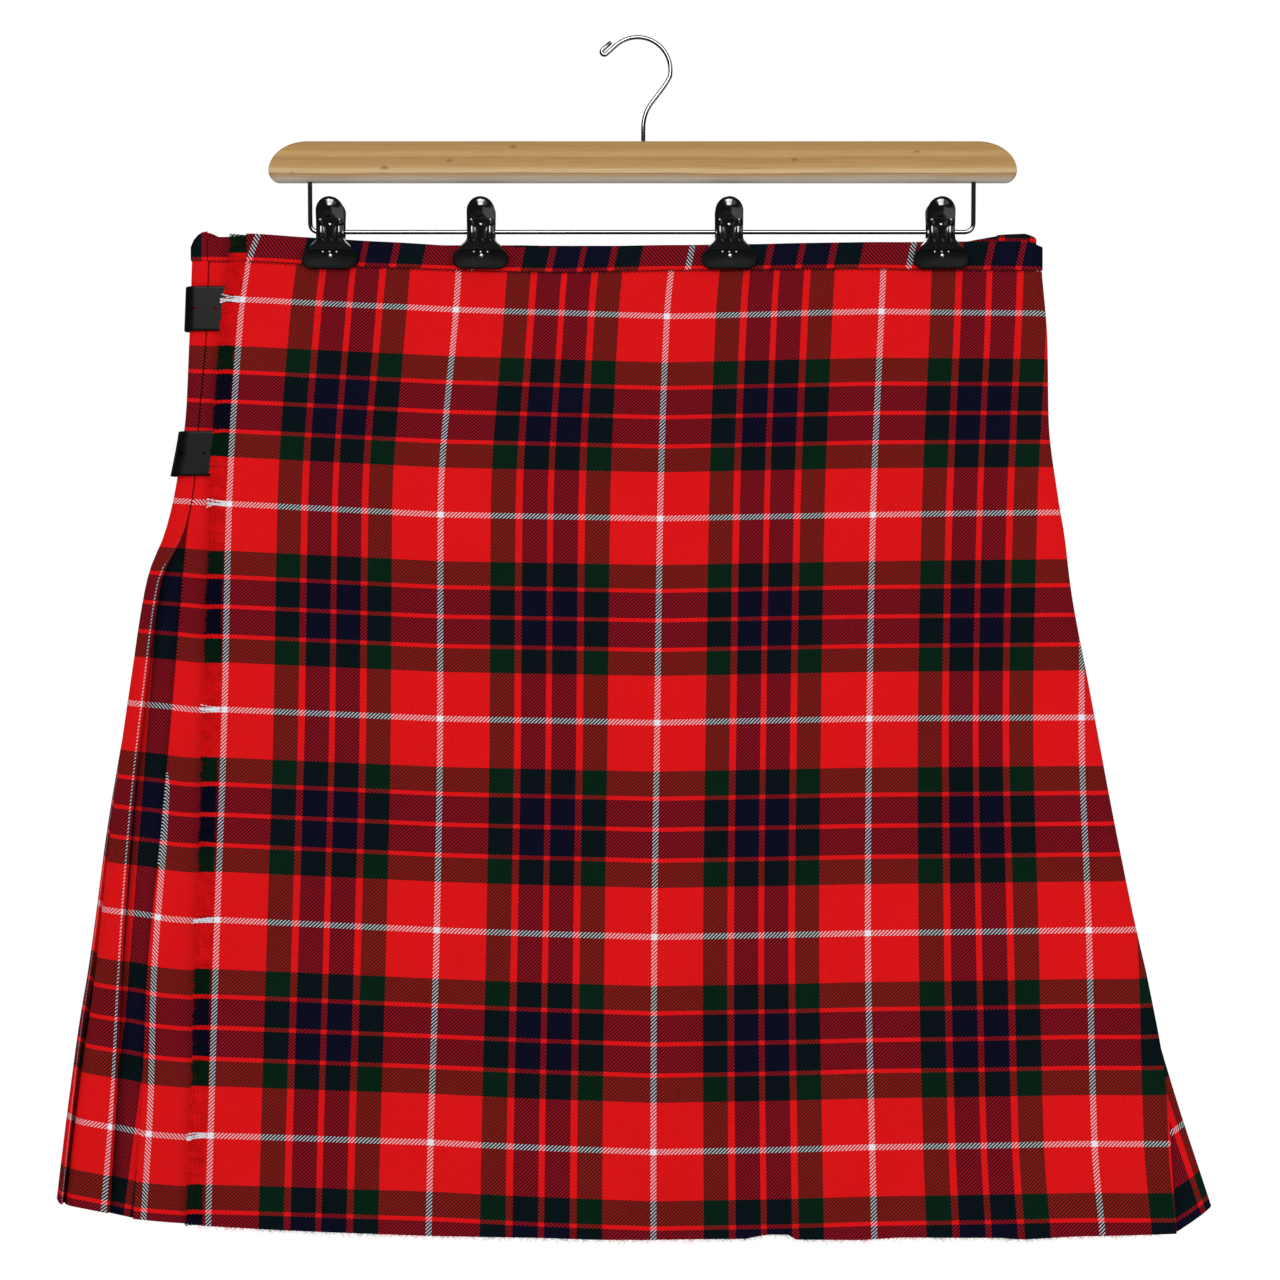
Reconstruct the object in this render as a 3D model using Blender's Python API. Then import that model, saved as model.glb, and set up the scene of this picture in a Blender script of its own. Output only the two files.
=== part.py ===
"""A Scottish kilt held flat in a wooden clip hanger. Metres, +Z up, the kilt's front faces -Y.

The origin is the inner crown of the hanger's hook, where a rail holds it up.

The cloth is one long strip: the over-apron runs from its fringed edge to a fold at the wearer's left, the
pleated back goes round behind, and the under-apron comes out of an inverted pleat at the wearer's right and
lies behind the over-apron. Each horizontal section of it is set out on a closed outline, the rail: a flat
front, two half-round sides and a flat back. A point of the section has a place, its length along the rail from
the leftmost point (towards the back is positive), and a level, its distance outside the rail.
"""

import math

import bmesh
import bpy
import numpy as np

MM = 0.001

# Cloth, in millimetres
CLOTH = 1.2  # wall of one layer
LAYER = 1.7  # from one layer to the next, centre to centre
SEAM = 0.3  # gap between pieces that are sewn together
BAND = 2.4  # waistband: turned strip with the cloth's edge inside it
PLEATS = 25  # knife pleats from the inverted pleat round to the wearer's left side
FELL_SAW = 1.6  # height of a sewn-down pleat's edge
HIDDEN_FORWARD = 28.0  # layer of the last pleat that runs forward behind the apron's fold
APRON_TURN = 20.0  # cloth turned under at the over-apron's right fold
SIDE_COLUMNS = 7  # steps across the first two pleats, which go round the side
GRIP_FRONT, GRIP_BACK = -0.1, 4.2  # under-apron's and back's planes where a clip grips
APRON_LIFT = 2 * LAYER  # over-apron's level
STRAP_LIFT = 0.9  # added to it beside the fringe, where the straps pass under
WAIST_TO_HEM = 589.3  # cloth below the waistband, on the middle line

# One row for each height at which the sections are set out, in millimetres. drop is measured down from the
# waistband's seam; x places: left and right are the rail's ends, pleat the first knife pleat's edge, box the
# under-apron's fold that faces it, fringe the over-apron's left edge, apron its right fold. side is the radius
# of the half-round sides, centre their y, front and back how far the flats bulge. saw is a pleat's height,
# tuck how far it goes under the next, hide the hidden depth of the inverted pleat, loose how far the over-apron's
# right fold stands off.
ROW_COLUMNS = (
    "drop", "left", "right", "pleat", "box", "fringe", "apron",
    "side", "centre", "front", "back", "saw", "tuck", "hide", "loose",
)
ROWS = (
    (0.0, -274.1, 244.5, -263.8, -262.2, -239.4, 247.9, 4.0, 2.0, 0.6, 1.0, 1.6, 0.0, 3.0, 0.0),
    (44.5, -275.6, 248.0, -265.3, -263.7, -245.6, 251.4, 4.6, 2.2, 1.6, 2.4, 1.6, 0.0, 3.5, 0.0),
    (93.3, -277.5, 248.8, -269.3, -267.7, -248.7, 252.2, 5.2, 2.4, 2.6, 3.6, 1.6, 0.0, 3.5, 0.0),
    (142.1, -283.0, 254.6, -273.0, -271.4, -251.4, 258.0, 6.0, 2.6, 3.4, 4.6, 3.4, 0.0, 4.0, 0.0),
    (166.5, -287.3, 258.6, -277.8, -275.2, -252.2, 262.0, 6.6, 2.7, 3.8, 5.2, 4.0, 4.0, 3.5, 0.0),
    (200.1, -298.6, 262.6, -292.8, -278.5, -253.1, 266.0, 7.4, 2.9, 4.4, 6.0, 5.0, 8.0, 4.5, 0.0),
    (261.1, -308.3, 273.7, -300.9, -283.2, -254.3, 277.1, 8.6, 3.2, 5.4, 7.0, 5.4, 12.0, 6.0, 0.0),
    (352.6, -321.4, 290.5, -310.4, -291.1, -257.0, 293.9, 10.2, 3.6, 6.6, 8.2, 5.8, 15.0, 10.0, 0.0),
    (444.1, -332.8, 309.3, -316.4, -299.5, -259.9, 312.7, 11.8, 4.2, 7.8, 9.2, 6.2, 17.0, 12.0, 0.5),
    (511.2, -344.5, 324.3, -319.0, -302.2, -261.6, 322.4, 12.9, 4.6, 8.4, 9.6, 6.4, 18.0, 13.0, 1.7),
    (589.3, -357.5, 349.5, -323.6, -307.7, -265.0, 328.5, 14.0, 5.0, 9.0, 10.0, 6.6, 19.0, 14.0, 1.7),
)

# Heights of the waistband's seam and top, and of the hem, against x at that height, in millimetres
SEAM_LINE = ((-275, -136.1), (-249, -136.1), (-236, -136.9), (-145, -140.9), (-47, -143.7), (38, -141.8),
             (148, -141.2), (247, -142.4))
INNER_SEAM_LINE = ((-275, -136.1), (247, -142.4))  # of the back and the under-apron
BAND_TOP_LINE = ((-250, -120.5), (-236, -119.9), (-145, -125.4), (-96, -128.1), (-47, -128.1), (32, -126.6),
                 (148, -125.0), (238, -124.1), (246, -127.2))
BACK_BAND_TOP_LINE = ((-275, -120.6), (-262, -118.4), (-240, -121.1), (-190, -126.0), (190, -126.0),
                      (222, -120.0), (238, -119.4), (245, -122.0))
HEM_LINE = ((-358, -705.5), (-353, -711.6), (-324, -716.4), (-308, -719.5), (-291, -721.9), (-264, -722.5),
            (-212, -726.8), (-127, -731.1), (-11, -733.5), (63, -732.9), (191, -731.1), (276, -729.9),
            (329, -728.6), (350, -715.8))

# Hanger, in millimetres
BAR_LEFT, BAR_RIGHT = -226.0, 232.3
BAR_TOP, BAR_BOTTOM = -63.3, -88.1
BAR_DEEP = 13.0
BAR_SHOULDER = 24.0  # length of each rounded end
BAR_END_RADIUS = 6.5
BAR_EDGE, BAR_LOWER_EDGE = 1.2, 4.6  # rounding of the bar's edges
SOCKET = 12.0  # depth of the wires' holes in the bar
HOOK_WIRE = 1.3  # wire radii
ROD_WIRE = 1.4
ROD_Z = -118.3
ROD_CORNER = 6.0
LEG_X = (-200.8, 206.0)
LEG_FORWARD = 3.2  # the legs meet the bar near its front
CLIP_X = (-188.2, -95.9, 56.1, 185.8)
CLIP_FLAT, CLIP_FADE = 19.0, 46.0  # half width of the cloth pressed flat by a pad, and where that ends
PAD_WIDE, PAD_TALL, PAD_DEEP = 34.0, 12.8, 3.6
GRIP_FACE = {-1: 5.0, 1: 5.4}  # the pads' inner faces stand this far from the rod, in front and behind
PAD_DROP = 17.0  # pad's centre below the rod
JAW_SHEET = 0.9
JAW_WIDE = 17.0
SPRING_RADIUS, SPRING_LONG = 3.2, 9.4

# Straps, in millimetres. Places are along the rail from the leftmost point, levels outside it.
STRAP_THICK, STRAP_WIDE = 2.0, 27.5
STRAPS = (("upper", -165.6), ("lower", -254.4))  # name and height of the middle line
STRAP_UNDER = 14.0  # sewn end hidden inside the over-apron's edge
STRAP_LEVEL = 0.6 + 0.3 + STRAP_THICK / 2  # lying on the cloth
STRAP_TAIL = 104.0
STRAP_HOLES = (-19.2, -6.1)
HOLE = 1.4
FRAME_FRONT, FRAME_HINGE = 50.0, 68.0  # places of the buckle frame's two bars
FRAME_WIRE, PRONG_WIRE = 1.2, 0.9  # wire radii
TAB_THICK, TAB_WIDE, TAB_LONG = 1.6, 25.0, 30.0
HINGE_LEVEL, FRONT_LEVEL = 4.2, 4.7
KEEPER_PLACE, KEEPER_WIDE, KEEPER_THICK, KEEPER_FOOT = 86.0, 7.0, 1.2, 5.0

# Fringe, in millimetres
LOCKS = 84
STRIP_WIDE = 2.0
LOCK_LONG, LOCK_THICK, LOCK_TIP = 13.0, 0.9, 0.4


def srgb(red, green, blue):
    """Linear colour of an 8-bit screen colour."""
    parts = [c / 255 for c in (red, green, blue)]
    return [c / 12.92 if c <= 0.04045 else ((c + 0.055) / 1.055) ** 2.4 for c in parts]


def material(name, colour, roughness, metallic=0.0):
    made = bpy.data.materials.new(name)
    made.use_nodes = True
    shader = made.node_tree.nodes["Principled BSDF"]
    shader.inputs["Base Color"].default_value = (*srgb(*colour), 1.0)
    shader.inputs["Roughness"].default_value = roughness
    shader.inputs["Metallic"].default_value = metallic
    return made


def clear_scene():
    for obj in list(bpy.data.objects):
        bpy.data.objects.remove(obj)


def collection(name):
    made = bpy.data.collections.new(name)
    bpy.context.scene.collection.children.link(made)
    return made


# ---------------------------------------------------------------- sections of the cloth


def smooth(t):
    """0 to 1 with level ends."""
    t = np.clip(t, 0.0, 1.0)
    return t * t * (3 - 2 * t)


def line(table, x):
    """Height read from a table of (x, z)."""
    places, heights = zip(*table)
    return np.interp(x, places, heights)


def row_at(drop):
    """The row of sizes at any drop, read between the table's rows."""
    drops = [row[0] for row in ROWS]
    columns = zip(ROW_COLUMNS, zip(*ROWS))
    return {name: float(np.interp(drop, drops, column)) for name, column in columns}


def quarter(row):
    """Length of a quarter round at a side."""
    return row["side"] * math.pi / 2


def half_rail(row):
    """Length from the leftmost point round the back to the rightmost."""
    return 2 * quarter(row) + row["right"] - row["left"] - 2 * row["side"]


def front_place(row, x):
    """Place of the front's point at x, which is negative: it lies before the leftmost point."""
    return -(quarter(row) + np.asarray(x, float) - row["left"] - row["side"])


def grip(row, x):
    """1 where a clip presses the cloth flat, 0 away from the clips and below the waist."""
    nearest = np.min(np.abs(np.asarray(x)[..., None] - np.array(CLIP_X)), axis=-1)
    return smooth((CLIP_FADE - nearest) / (CLIP_FADE - CLIP_FLAT)) * (1 - smooth(row["drop"] / 60.0))


def section(row, places, levels):
    """(x, y) of points given by place along the rail and level outside it."""
    side, flat = row["side"], half_rail(row) - 2 * quarter(row)
    bend, back, whole = quarter(row), half_rail(row), 2 * half_rail(row)
    s = (np.asarray(places, float) + bend) % whole - bend  # from -bend, the left side's front end
    n = np.asarray(levels, float)
    left, right = row["left"] + side, row["right"] - side
    on_left, on_back = s < bend, (s >= bend) & (s < bend + flat)
    on_right = (s >= bend + flat) & (s < back + bend)
    turn = np.where(on_left, math.pi - s / side, (back - s) / side)
    x_flat = np.where(on_back, left + s - bend, right - (s - back - bend))
    spread = 1 - ((x_flat - (left + right) / 2) / (flat / 2)) ** 2
    held = grip(row, x_flat)
    y_back = (row["centre"] + side + row["back"] * spread) * (1 - held) + GRIP_BACK * held
    y_front = (row["centre"] - side - row["front"] * spread) * (1 - held) + GRIP_FRONT * held
    rounded = on_left | on_right
    centre_x = np.where(on_left, left, right)
    x = np.where(rounded, centre_x + (side + n) * np.cos(turn), x_flat)
    straight = np.where(on_back, y_back + n, y_front - n)
    y = np.where(rounded, row["centre"] + (side + n) * np.sin(turn), straight)
    return x, y


def offset(points, distance):
    """Each section's points moved to the left of its direction of travel by distance, mitred at corners."""
    step = np.diff(points, axis=1)
    step /= np.linalg.norm(step, axis=2, keepdims=True)
    normal = np.stack([-step[..., 1], step[..., 0]], axis=2)
    first = np.concatenate([normal[:, :1], normal], axis=1)
    last = np.concatenate([normal, normal[:, -1:]], axis=1)
    both = first + last
    scale = 2 / np.maximum(np.sum(both * both, axis=2, keepdims=True), 0.9)
    return points + distance * both * scale


def wall(name, xy, z, thickness, made_of, group):
    """A closed wall of even thickness round a grid of section points, xy[row, point], at heights z."""
    outer = np.dstack([offset(xy, thickness / 2), z])
    inner = np.dstack([offset(xy, -thickness / 2), z])
    rows, across = z.shape
    index = np.arange(rows * across).reshape(rows, across)
    far = index + rows * across
    points = np.concatenate([outer.reshape(-1, 3), inner.reshape(-1, 3)])
    faces = []
    for grid in (index, far):
        a, b, c, d = (part.ravel() for part in (grid[:-1, :-1], grid[:-1, 1:], grid[1:, 1:], grid[1:, :-1]))
        lengths = [np.linalg.norm(points[one] - points[two], axis=1) for one, two in ((a, c), (b, d))]
        across_ac = lengths[0] < lengths[1]
        faces.append(np.stack([a, b, np.where(across_ac, c, d)], axis=1))
        faces.append(np.stack([np.where(across_ac, a, b), c, d], axis=1))
    for edge in (np.s_[0], np.s_[:, 0], np.s_[-1], np.s_[:, -1]):
        near_edge, far_edge = index[edge], far[edge]
        faces += [np.stack([near_edge[:-1], far_edge[:-1], far_edge[1:]], axis=1),
                  np.stack([near_edge[:-1], far_edge[1:], near_edge[1:]], axis=1)]
    return mesh_object(name, points * MM, np.concatenate(faces), made_of, group)


def mesh_object(name, points, faces, made_of, group):
    mesh = bpy.data.meshes.new(name)
    mesh.from_pydata([tuple(p) for p in points], [], [tuple(int(i) for i in f) for f in faces])
    shell = bmesh.new()
    shell.from_mesh(mesh)
    bmesh.ops.recalc_face_normals(shell, faces=shell.faces)
    shell.to_mesh(mesh)
    shell.free()
    mesh.materials.append(made_of)
    mesh.shade_smooth()
    mesh.set_sharp_from_angle(angle=math.radians(35))
    made = bpy.data.objects.new(name, mesh)
    group.objects.link(made)
    return made


def heights(x_rows, seam=INNER_SEAM_LINE):
    """z of a grid of points, one row of the table after another: the rows pass evenly from seam to hem."""
    rows = [row_at(row[0]) for row in ROWS]
    share = np.array([row["drop"] for row in rows])[:, None] / WAIST_TO_HEM
    across = np.array([(x - row["left"]) / (row["right"] - row["left"]) for x, row in zip(x_rows, rows)])
    at_seam, at_hem = (row["left"] + across * (row["right"] - row["left"]) for row in (rows[0], rows[-1]))
    return (line(seam, at_seam) - SEAM) * (1 - share) + line(HEM_LINE, at_hem) * share


def sections(path):
    """Section points of path(row) at every row of the table, as [row, point, (x, y)]."""
    rows = [row_at(row[0]) for row in ROWS]
    return np.array([np.stack(section(row, *path(row)), axis=1) for row in rows])


def spots(path, z, seam=INNER_SEAM_LINE):
    """(x, y, z) of the path's points at heights z, read along the cloth between the table's rows."""
    xy = sections(path)
    z_rows = heights(xy[..., 0], seam)
    z = np.broadcast_to(z, xy.shape[1])
    found = [[np.interp(-z[i], -z_rows[:, i], xy[:, i, axis]) for i in range(len(z))] for axis in (0, 1)]
    return np.array([*found, z]).T


def spot(place, level, z):
    return spots(lambda row: ([place], [level]), z)[0]


def panel(name, path, seam, made_of, group):
    """A panel of cloth from path(row), which gives the places and levels of one section's points."""
    xy = sections(path)
    return wall(name, xy, heights(xy[..., 0], seam), CLOTH, made_of, group)


def lift(x):
    """Over-apron's level: clear of the layers under it, and of the straps near its fringed edge."""
    return APRON_LIFT + STRAP_LIFT * smooth((-205 - np.asarray(x, float)) / 18)


def clip_columns(low, high):
    """Shares from 0 to 1 along low..high: a column at each edge of a pressed flat, and where its effect ends."""
    stops = {low, high} | {x + CLIP_FADE for x in CLIP_X[1:]}
    for x in CLIP_X:
        stops |= {x - CLIP_FADE, x - CLIP_FLAT, x + CLIP_FLAT}
    inside = np.array(sorted(x for x in stops if low <= x <= high))
    return (inside - low) / (high - low)


# ---------------------------------------------------------------- the cloth's panels


def apron_fold(row):
    """Place of the over-apron's right fold: on the flat front, or round the side where it reaches further."""
    past = row["apron"] - (row["right"] - row["side"])
    if past <= 0:
        return front_place(row, row["apron"])
    angle = math.acos(min(0.93, past / (row["side"] + APRON_LIFT)))
    return angle * row["side"] - half_rail(row)


def over_apron_front(row):
    """Places of the over-apron's face, from the fringed edge to the right fold, closer round the side."""
    start, fold = front_place(row, row["fringe"]), apron_fold(row)
    near = fold + 1.1 * quarter(row)
    flat = start + (near - start) * clip_columns(ROWS[0][5], ROWS[0][6] - 7)
    places = np.append(flat, near + (fold - near) * np.array([0.25, 0.5, 0.75, 1.0]))
    return places, lift(section(row, places, 0 * places)[0]) + row["loose"] * smooth(1 - (places - fold) / 60)


def over_apron_path(row):
    """Its face, then back under itself from the right fold."""
    places, levels = over_apron_front(row)
    fold = places[-1]
    under = fold + np.append(1.1 * quarter(row) * np.array([0, 0.25, 0.5, 0.75, 1.0]), quarter(row) + APRON_TURN)
    below = APRON_LIFT - LAYER + row["loose"] * smooth(1 - (under - fold) / 60)
    return np.append(places, under), np.append(levels, below)


def under_apron_path(row):
    """From its hidden edge to the fold of the inverted pleat, back under itself, and out again as underlay."""
    end = row["right"] - 44
    fold, pleat = front_place(row, row["box"]), front_place(row, row["pleat"])
    face = front_place(row, row["box"] + (end - row["box"]) * clip_columns(ROWS[0][4], ROWS[0][2] - 44))[::-1]
    inner = fold - 2 * row["hide"]
    behind = [pleat + (first_depth(row) + pleat_pitch(row)) * i / SIDE_COLUMNS for i in (1, 2)]
    places = [*face, fold, inner, inner, fold, pleat, *behind]
    levels = [0.0] * len(face) + [-LAYER] * 2 + [-2 * LAYER] * 3
    levels += [-2 * LAYER - row["saw"] * i / SIDE_COLUMNS for i in (1, 2)]
    return np.array(places), np.array(levels)


def pleat_pitch(row):
    return (half_rail(row) - front_place(row, row["pleat"])) / PLEATS


def first_depth(row):
    """How far the first two pleats go under the next: less than the others, for they turn the corner."""
    return 0.45 * row["tuck"]


def pleated_back_path(row):
    """The hidden start under the first pleat, the pleats, and the last layer forward behind the apron's fold."""
    start, pitch, bend, back = front_place(row, row["pleat"]), pleat_pitch(row), quarter(row), half_rail(row)
    turn = min(LAYER, row["saw"] / 2 - 0.07)  # spacing of the two corners of a fold
    places = [start + (pitch + first_depth(row)) * i / SIDE_COLUMNS for i in (2, 1, 0)]
    levels = [-LAYER - row["saw"] * i / SIDE_COLUMNS for i in (2, 1, 0)]
    for pleat in range(PLEATS - 1):
        edge = start + pleat * pitch
        end = edge + pitch + (first_depth(row) if pleat < 2 else row["tuck"])
        columns, returning = (SIDE_COLUMNS, 2) if pleat < 2 else (2, 0) if pleat in (2, PLEATS - 2) else (1, 0)
        places += [edge + (end - edge) * i / columns for i in range(columns)] + [end]
        levels += [-row["saw"] * i / columns for i in range(columns + 1)]
        places += [end + (edge + pitch - end) * i / (returning + 1) for i in range(returning + 2)]
        fall = (row["saw"] - 2 * turn) / (returning + 1)
        levels += [turn - row["saw"] + fall * i for i in range(returning + 2)]
    edge = back - pitch
    round_the_side = back + bend * np.array([-1, -0.67, -0.33, 0, 0.33, 0.67, 1])
    wrap = [edge, *round_the_side, back + bend + HIDDEN_FORWARD / 2,
            back + bend + HIDDEN_FORWARD]
    return np.array(places + wrap), np.array(levels + [0.0] * len(wrap))


# ---------------------------------------------------------------- waistband


def band(name, path, top_line, seam, made_of, group):
    """A run of the waistband: folded over at the top, so that its upper edge is thinner."""
    points = np.stack(section(row_at(0.0), *path), axis=1)
    top, low = line(top_line, points[:, 0]), line(seam, points[:, 0])
    z = np.stack([top, top - 0.9, low])
    thickness = np.array([1.0, BAND, BAND])[:, None, None]
    return wall(name, np.array([points] * 3), z, thickness, made_of, group)


def waistbands(made_of, group):
    row = row_at(0.0)
    band("waistband_over", over_apron_front(row), BAND_TOP_LINE, SEAM_LINE, made_of, group)

    start, bend, back = front_place(row, row["pleat"]), quarter(row), half_rail(row)
    flat = bend + clip_columns(row["left"] + row["side"], row["right"] - row["side"]) * (back - 2 * bend)
    places = np.concatenate([[start], bend * np.array([-1, -0.5, 0, 0.5]), flat,
                             back + bend * np.array([-0.5, 0, 0.5, 1]), [back + bend + 20]])
    level = np.full(places.shape, -FELL_SAW / 2)
    band("waistband_back", (places, level), BACK_BAND_TOP_LINE, INNER_SEAM_LINE, made_of, group)

    fold, end = row["pleat"] + 0.4, row["right"] - 44
    places = front_place(row, fold + (end - fold) * clip_columns(fold, end))
    lower_top = [(x, z - 1.0) for x, z in BAND_TOP_LINE]
    band("waistband_under", (places, 0 * places), lower_top, INNER_SEAM_LINE, made_of, group)


# ---------------------------------------------------------------- fringe


def apron_fringe(made_of, group):
    """A narrow strip beside the over-apron's raw edge, whose left side carries tapering locks."""
    rng = np.random.default_rng(7)
    z = np.linspace(line(SEAM_LINE, ROWS[0][5]) - SEAM, line(HEM_LINE, ROWS[-1][5]), 2 * LOCKS + 1)

    def edge(inset):
        def path(row):
            return [front_place(row, row["fringe"] - inset)], [APRON_LIFT + STRAP_LIFT]
        return np.array([spots(path, height, SEAM_LINE)[0] for height in z])

    right, left = edge(SEAM), edge(SEAM + STRIP_WIDE)
    half = np.array([0, LOCK_THICK / 2, 0])
    ring = np.stack([right - half, left - half, left + half, right + half], axis=1)  # four corners at each height
    points, faces = list(ring.reshape(-1, 3)), []
    for level in range(2 * LOCKS):
        a, b = 4 * level, 4 * level + 4
        faces += [(a, a + 1, b + 1, b), (a + 2, a + 3, b + 3, b + 2), (a + 3, a, b, b + 3)]
        if level % 2:
            faces.append((a + 1, a + 2, b + 2, b + 1))
            continue
        reach = np.array([-rng.uniform(0.78, 1.0) * LOCK_LONG, -rng.uniform(0.0, 0.7), rng.uniform(-1.6, 0.6)])
        middle = (points[a + 1] + points[b + 2]) / 2 + reach
        tip = len(points)
        corners = ((-0.5, 1), (0.5, 1), (0.5, -1), (-0.5, -1))
        points += [middle + np.array([0, y, dz]) * LOCK_TIP for y, dz in corners]
        root = (a + 1, a + 2, b + 2, b + 1)
        faces += [(root[i], root[(i + 1) % 4], tip + (i + 1) % 4, tip + i) for i in range(4)]
        faces.append((tip, tip + 1, tip + 2, tip + 3))
    last = 8 * LOCKS
    faces += [(0, 1, 2, 3), (last, last + 1, last + 2, last + 3)]
    return mesh_object("apron_fringe", np.array(points) * MM, faces, made_of, group)


# ---------------------------------------------------------------- helpers for wires, pins and tubes


def filleted(points, radius, steps=4, closed=False):
    """A polyline with each corner cut back by radius and rounded."""
    points = [np.array(p, float) for p in points]
    count, out = len(points), []
    for i, corner in enumerate(points):
        if not closed and i in (0, count - 1):
            out.append(corner)
            continue
        before, after = points[i - 1], points[(i + 1) % count]
        reach_in = min(radius, np.linalg.norm(before - corner) * 0.49)
        reach_out = min(radius, np.linalg.norm(after - corner) * 0.49)
        first = corner + (before - corner) / np.linalg.norm(before - corner) * reach_in
        last = corner + (after - corner) / np.linalg.norm(after - corner) * reach_out
        for t in np.linspace(0, 1, steps + 1):
            out.append(first * (1 - t) ** 2 + corner * 2 * t * (1 - t) + last * t * t)
    return out


def wire(name, points, radius, made_of, group, closed=False):
    """A round wire along points in millimetres."""
    curve = bpy.data.curves.new(name, "CURVE")
    curve.dimensions = "3D"
    curve.bevel_depth = radius * MM
    curve.bevel_resolution = 2
    curve.use_fill_caps = not closed
    spline = curve.splines.new("POLY")
    spline.points.add(len(points) - 1)
    spline.use_cyclic_u = closed
    for point, place in zip(spline.points, points):
        point.co = (*(np.array(place) * MM), 1.0)
    curve.materials.append(made_of)
    made = bpy.data.objects.new(name, curve)
    group.objects.link(made)
    return made


def ring_points(centre, axis, radius, sides):
    """A circle of points round an axis."""
    axis = np.array(axis, float) / np.linalg.norm(axis)
    across = np.cross(axis, (0, 0, 1) if abs(axis[2]) < 0.9 else (1, 0, 0))
    across /= np.linalg.norm(across)
    other = np.cross(axis, across)
    turn = np.linspace(0, 2 * math.pi, sides, endpoint=False)[:, None]
    return np.array(centre) + radius * (np.cos(turn) * across + np.sin(turn) * other)


def joined(rings, closed=False):
    """Quads between rings of equal count, one after another."""
    sides, quads = len(rings[0]), []
    pairs = [(i, (i + 1) % len(rings)) for i in range(len(rings) - (not closed))]
    for one, two in pairs:
        quads += [(one * sides + i, one * sides + (i + 1) % sides, two * sides + (i + 1) % sides, two * sides + i)
                  for i in range(sides)]
    return quads


def capped(name, rings, made_of, group):
    """A closed body from rings of points, with flat ends."""
    sides = len(rings[0])
    faces = joined(rings) + [tuple(range(sides)), tuple((len(rings) - 1) * sides + i for i in range(sides))]
    return mesh_object(name, np.concatenate(rings) * MM, faces, made_of, group)


def tube(name, start, end, outer, inner, sides, made_of, group):
    """A round tube with an open bore."""
    start, end = np.array(start, float), np.array(end, float)
    rings = [ring_points(centre, end - start, radius, sides)
             for centre, radius in ((start, outer), (end, outer), (end, inner), (start, inner))]
    return mesh_object(name, np.concatenate(rings) * MM, joined(rings, closed=True), made_of, group)


def cut(target, cutter, operation="DIFFERENCE"):
    """Applies a helper shape to a piece."""
    cutter.hide_render = True
    cutter.display_type = "WIRE"
    modifier = target.modifiers.new(cutter.name, "BOOLEAN")
    modifier.operation = operation
    modifier.solver = "EXACT"
    modifier.object = cutter


def pin(name, start, end, radius, made_of, group, sides=8):
    start, end = np.array(start, float), np.array(end, float)
    return capped(name, [ring_points(p, end - start, radius, sides) for p in (start, end)], made_of, group)


# ---------------------------------------------------------------- straps and buckles


def strap_path(row):
    """Out from under the fringe, round the side, under the buckle's front bar and over its hinge bar."""
    start, bend = front_place(row, row["fringe"] + STRAP_UNDER), quarter(row)
    over_hinge = HINGE_LEVEL + FRAME_WIRE + 0.3 + 2 * PRONG_WIRE + 0.6 + STRAP_THICK / 2
    over_tab = 0.9 + 2 * TAB_THICK + 0.3 + 0.3 + STRAP_THICK / 2
    turns = bend * np.array([-1, -0.75, -0.5, -0.25, 0, 0.25, 0.5, 0.75, 1])
    after = [(24, STRAP_LEVEL), (FRAME_FRONT - 4, STRAP_LEVEL), (FRAME_FRONT + 2.5, STRAP_LEVEL + 0.3),
             (FRAME_HINGE - 5.5, over_hinge - 0.3), (FRAME_HINGE, over_hinge), (FRAME_HINGE + 5.5, over_hinge - 1.0),
             (FRAME_HINGE + 12, over_tab), (STRAP_TAIL - 5, over_tab), (STRAP_TAIL, over_tab)]
    places = [start, (start - bend) / 2, *turns, *(place for place, _ in after)]
    levels = [STRAP_LEVEL] * 11 + [level for _, level in after]
    return np.array(places), np.array(levels)


def tab_path(_row):
    """Lies on the pleats, goes round the hinge bar and comes back over itself."""
    lower, upper = 0.9 + TAB_THICK / 2, 0.9 + 1.5 * TAB_THICK + 0.3
    radius, end = FRAME_WIRE + 0.3 + TAB_THICK / 2, FRAME_HINGE + TAB_LONG
    turns = np.radians([-90, -120, -150, -180, -210, -240, -270])
    places = [end, FRAME_HINGE + 6, *(FRAME_HINGE + radius * np.cos(turns)), FRAME_HINGE + 7, end - 10]
    levels = [lower, lower, *(HINGE_LEVEL + radius * np.sin(turns)), upper + 0.2, upper]
    return np.array(places), np.array(levels)


def strip(name, path, middle, wide, thickness, made_of, group):
    """A flat strip along a path, upright, of even width."""
    edges = [spots(path, middle + side * wide / 2) for side in (1, 0, -1)]
    return wall(name, np.array(edges)[..., :2], np.array(edges)[..., 2], thickness, made_of, group)


def prong_points(z):
    """Round the hinge bar, then out over the front bar."""
    radius = FRAME_WIRE + 0.3 + PRONG_WIRE
    turns = np.radians(np.arange(-150, 91, 30))
    found = [(FRAME_HINGE + radius * math.cos(t), HINGE_LEVEL + radius * math.sin(t)) for t in turns]
    found.append((FRAME_FRONT - 2.5, FRONT_LEVEL + FRAME_WIRE + 0.3 + PRONG_WIRE))
    return [spot(place, level, z) for place, level in found]


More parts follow.
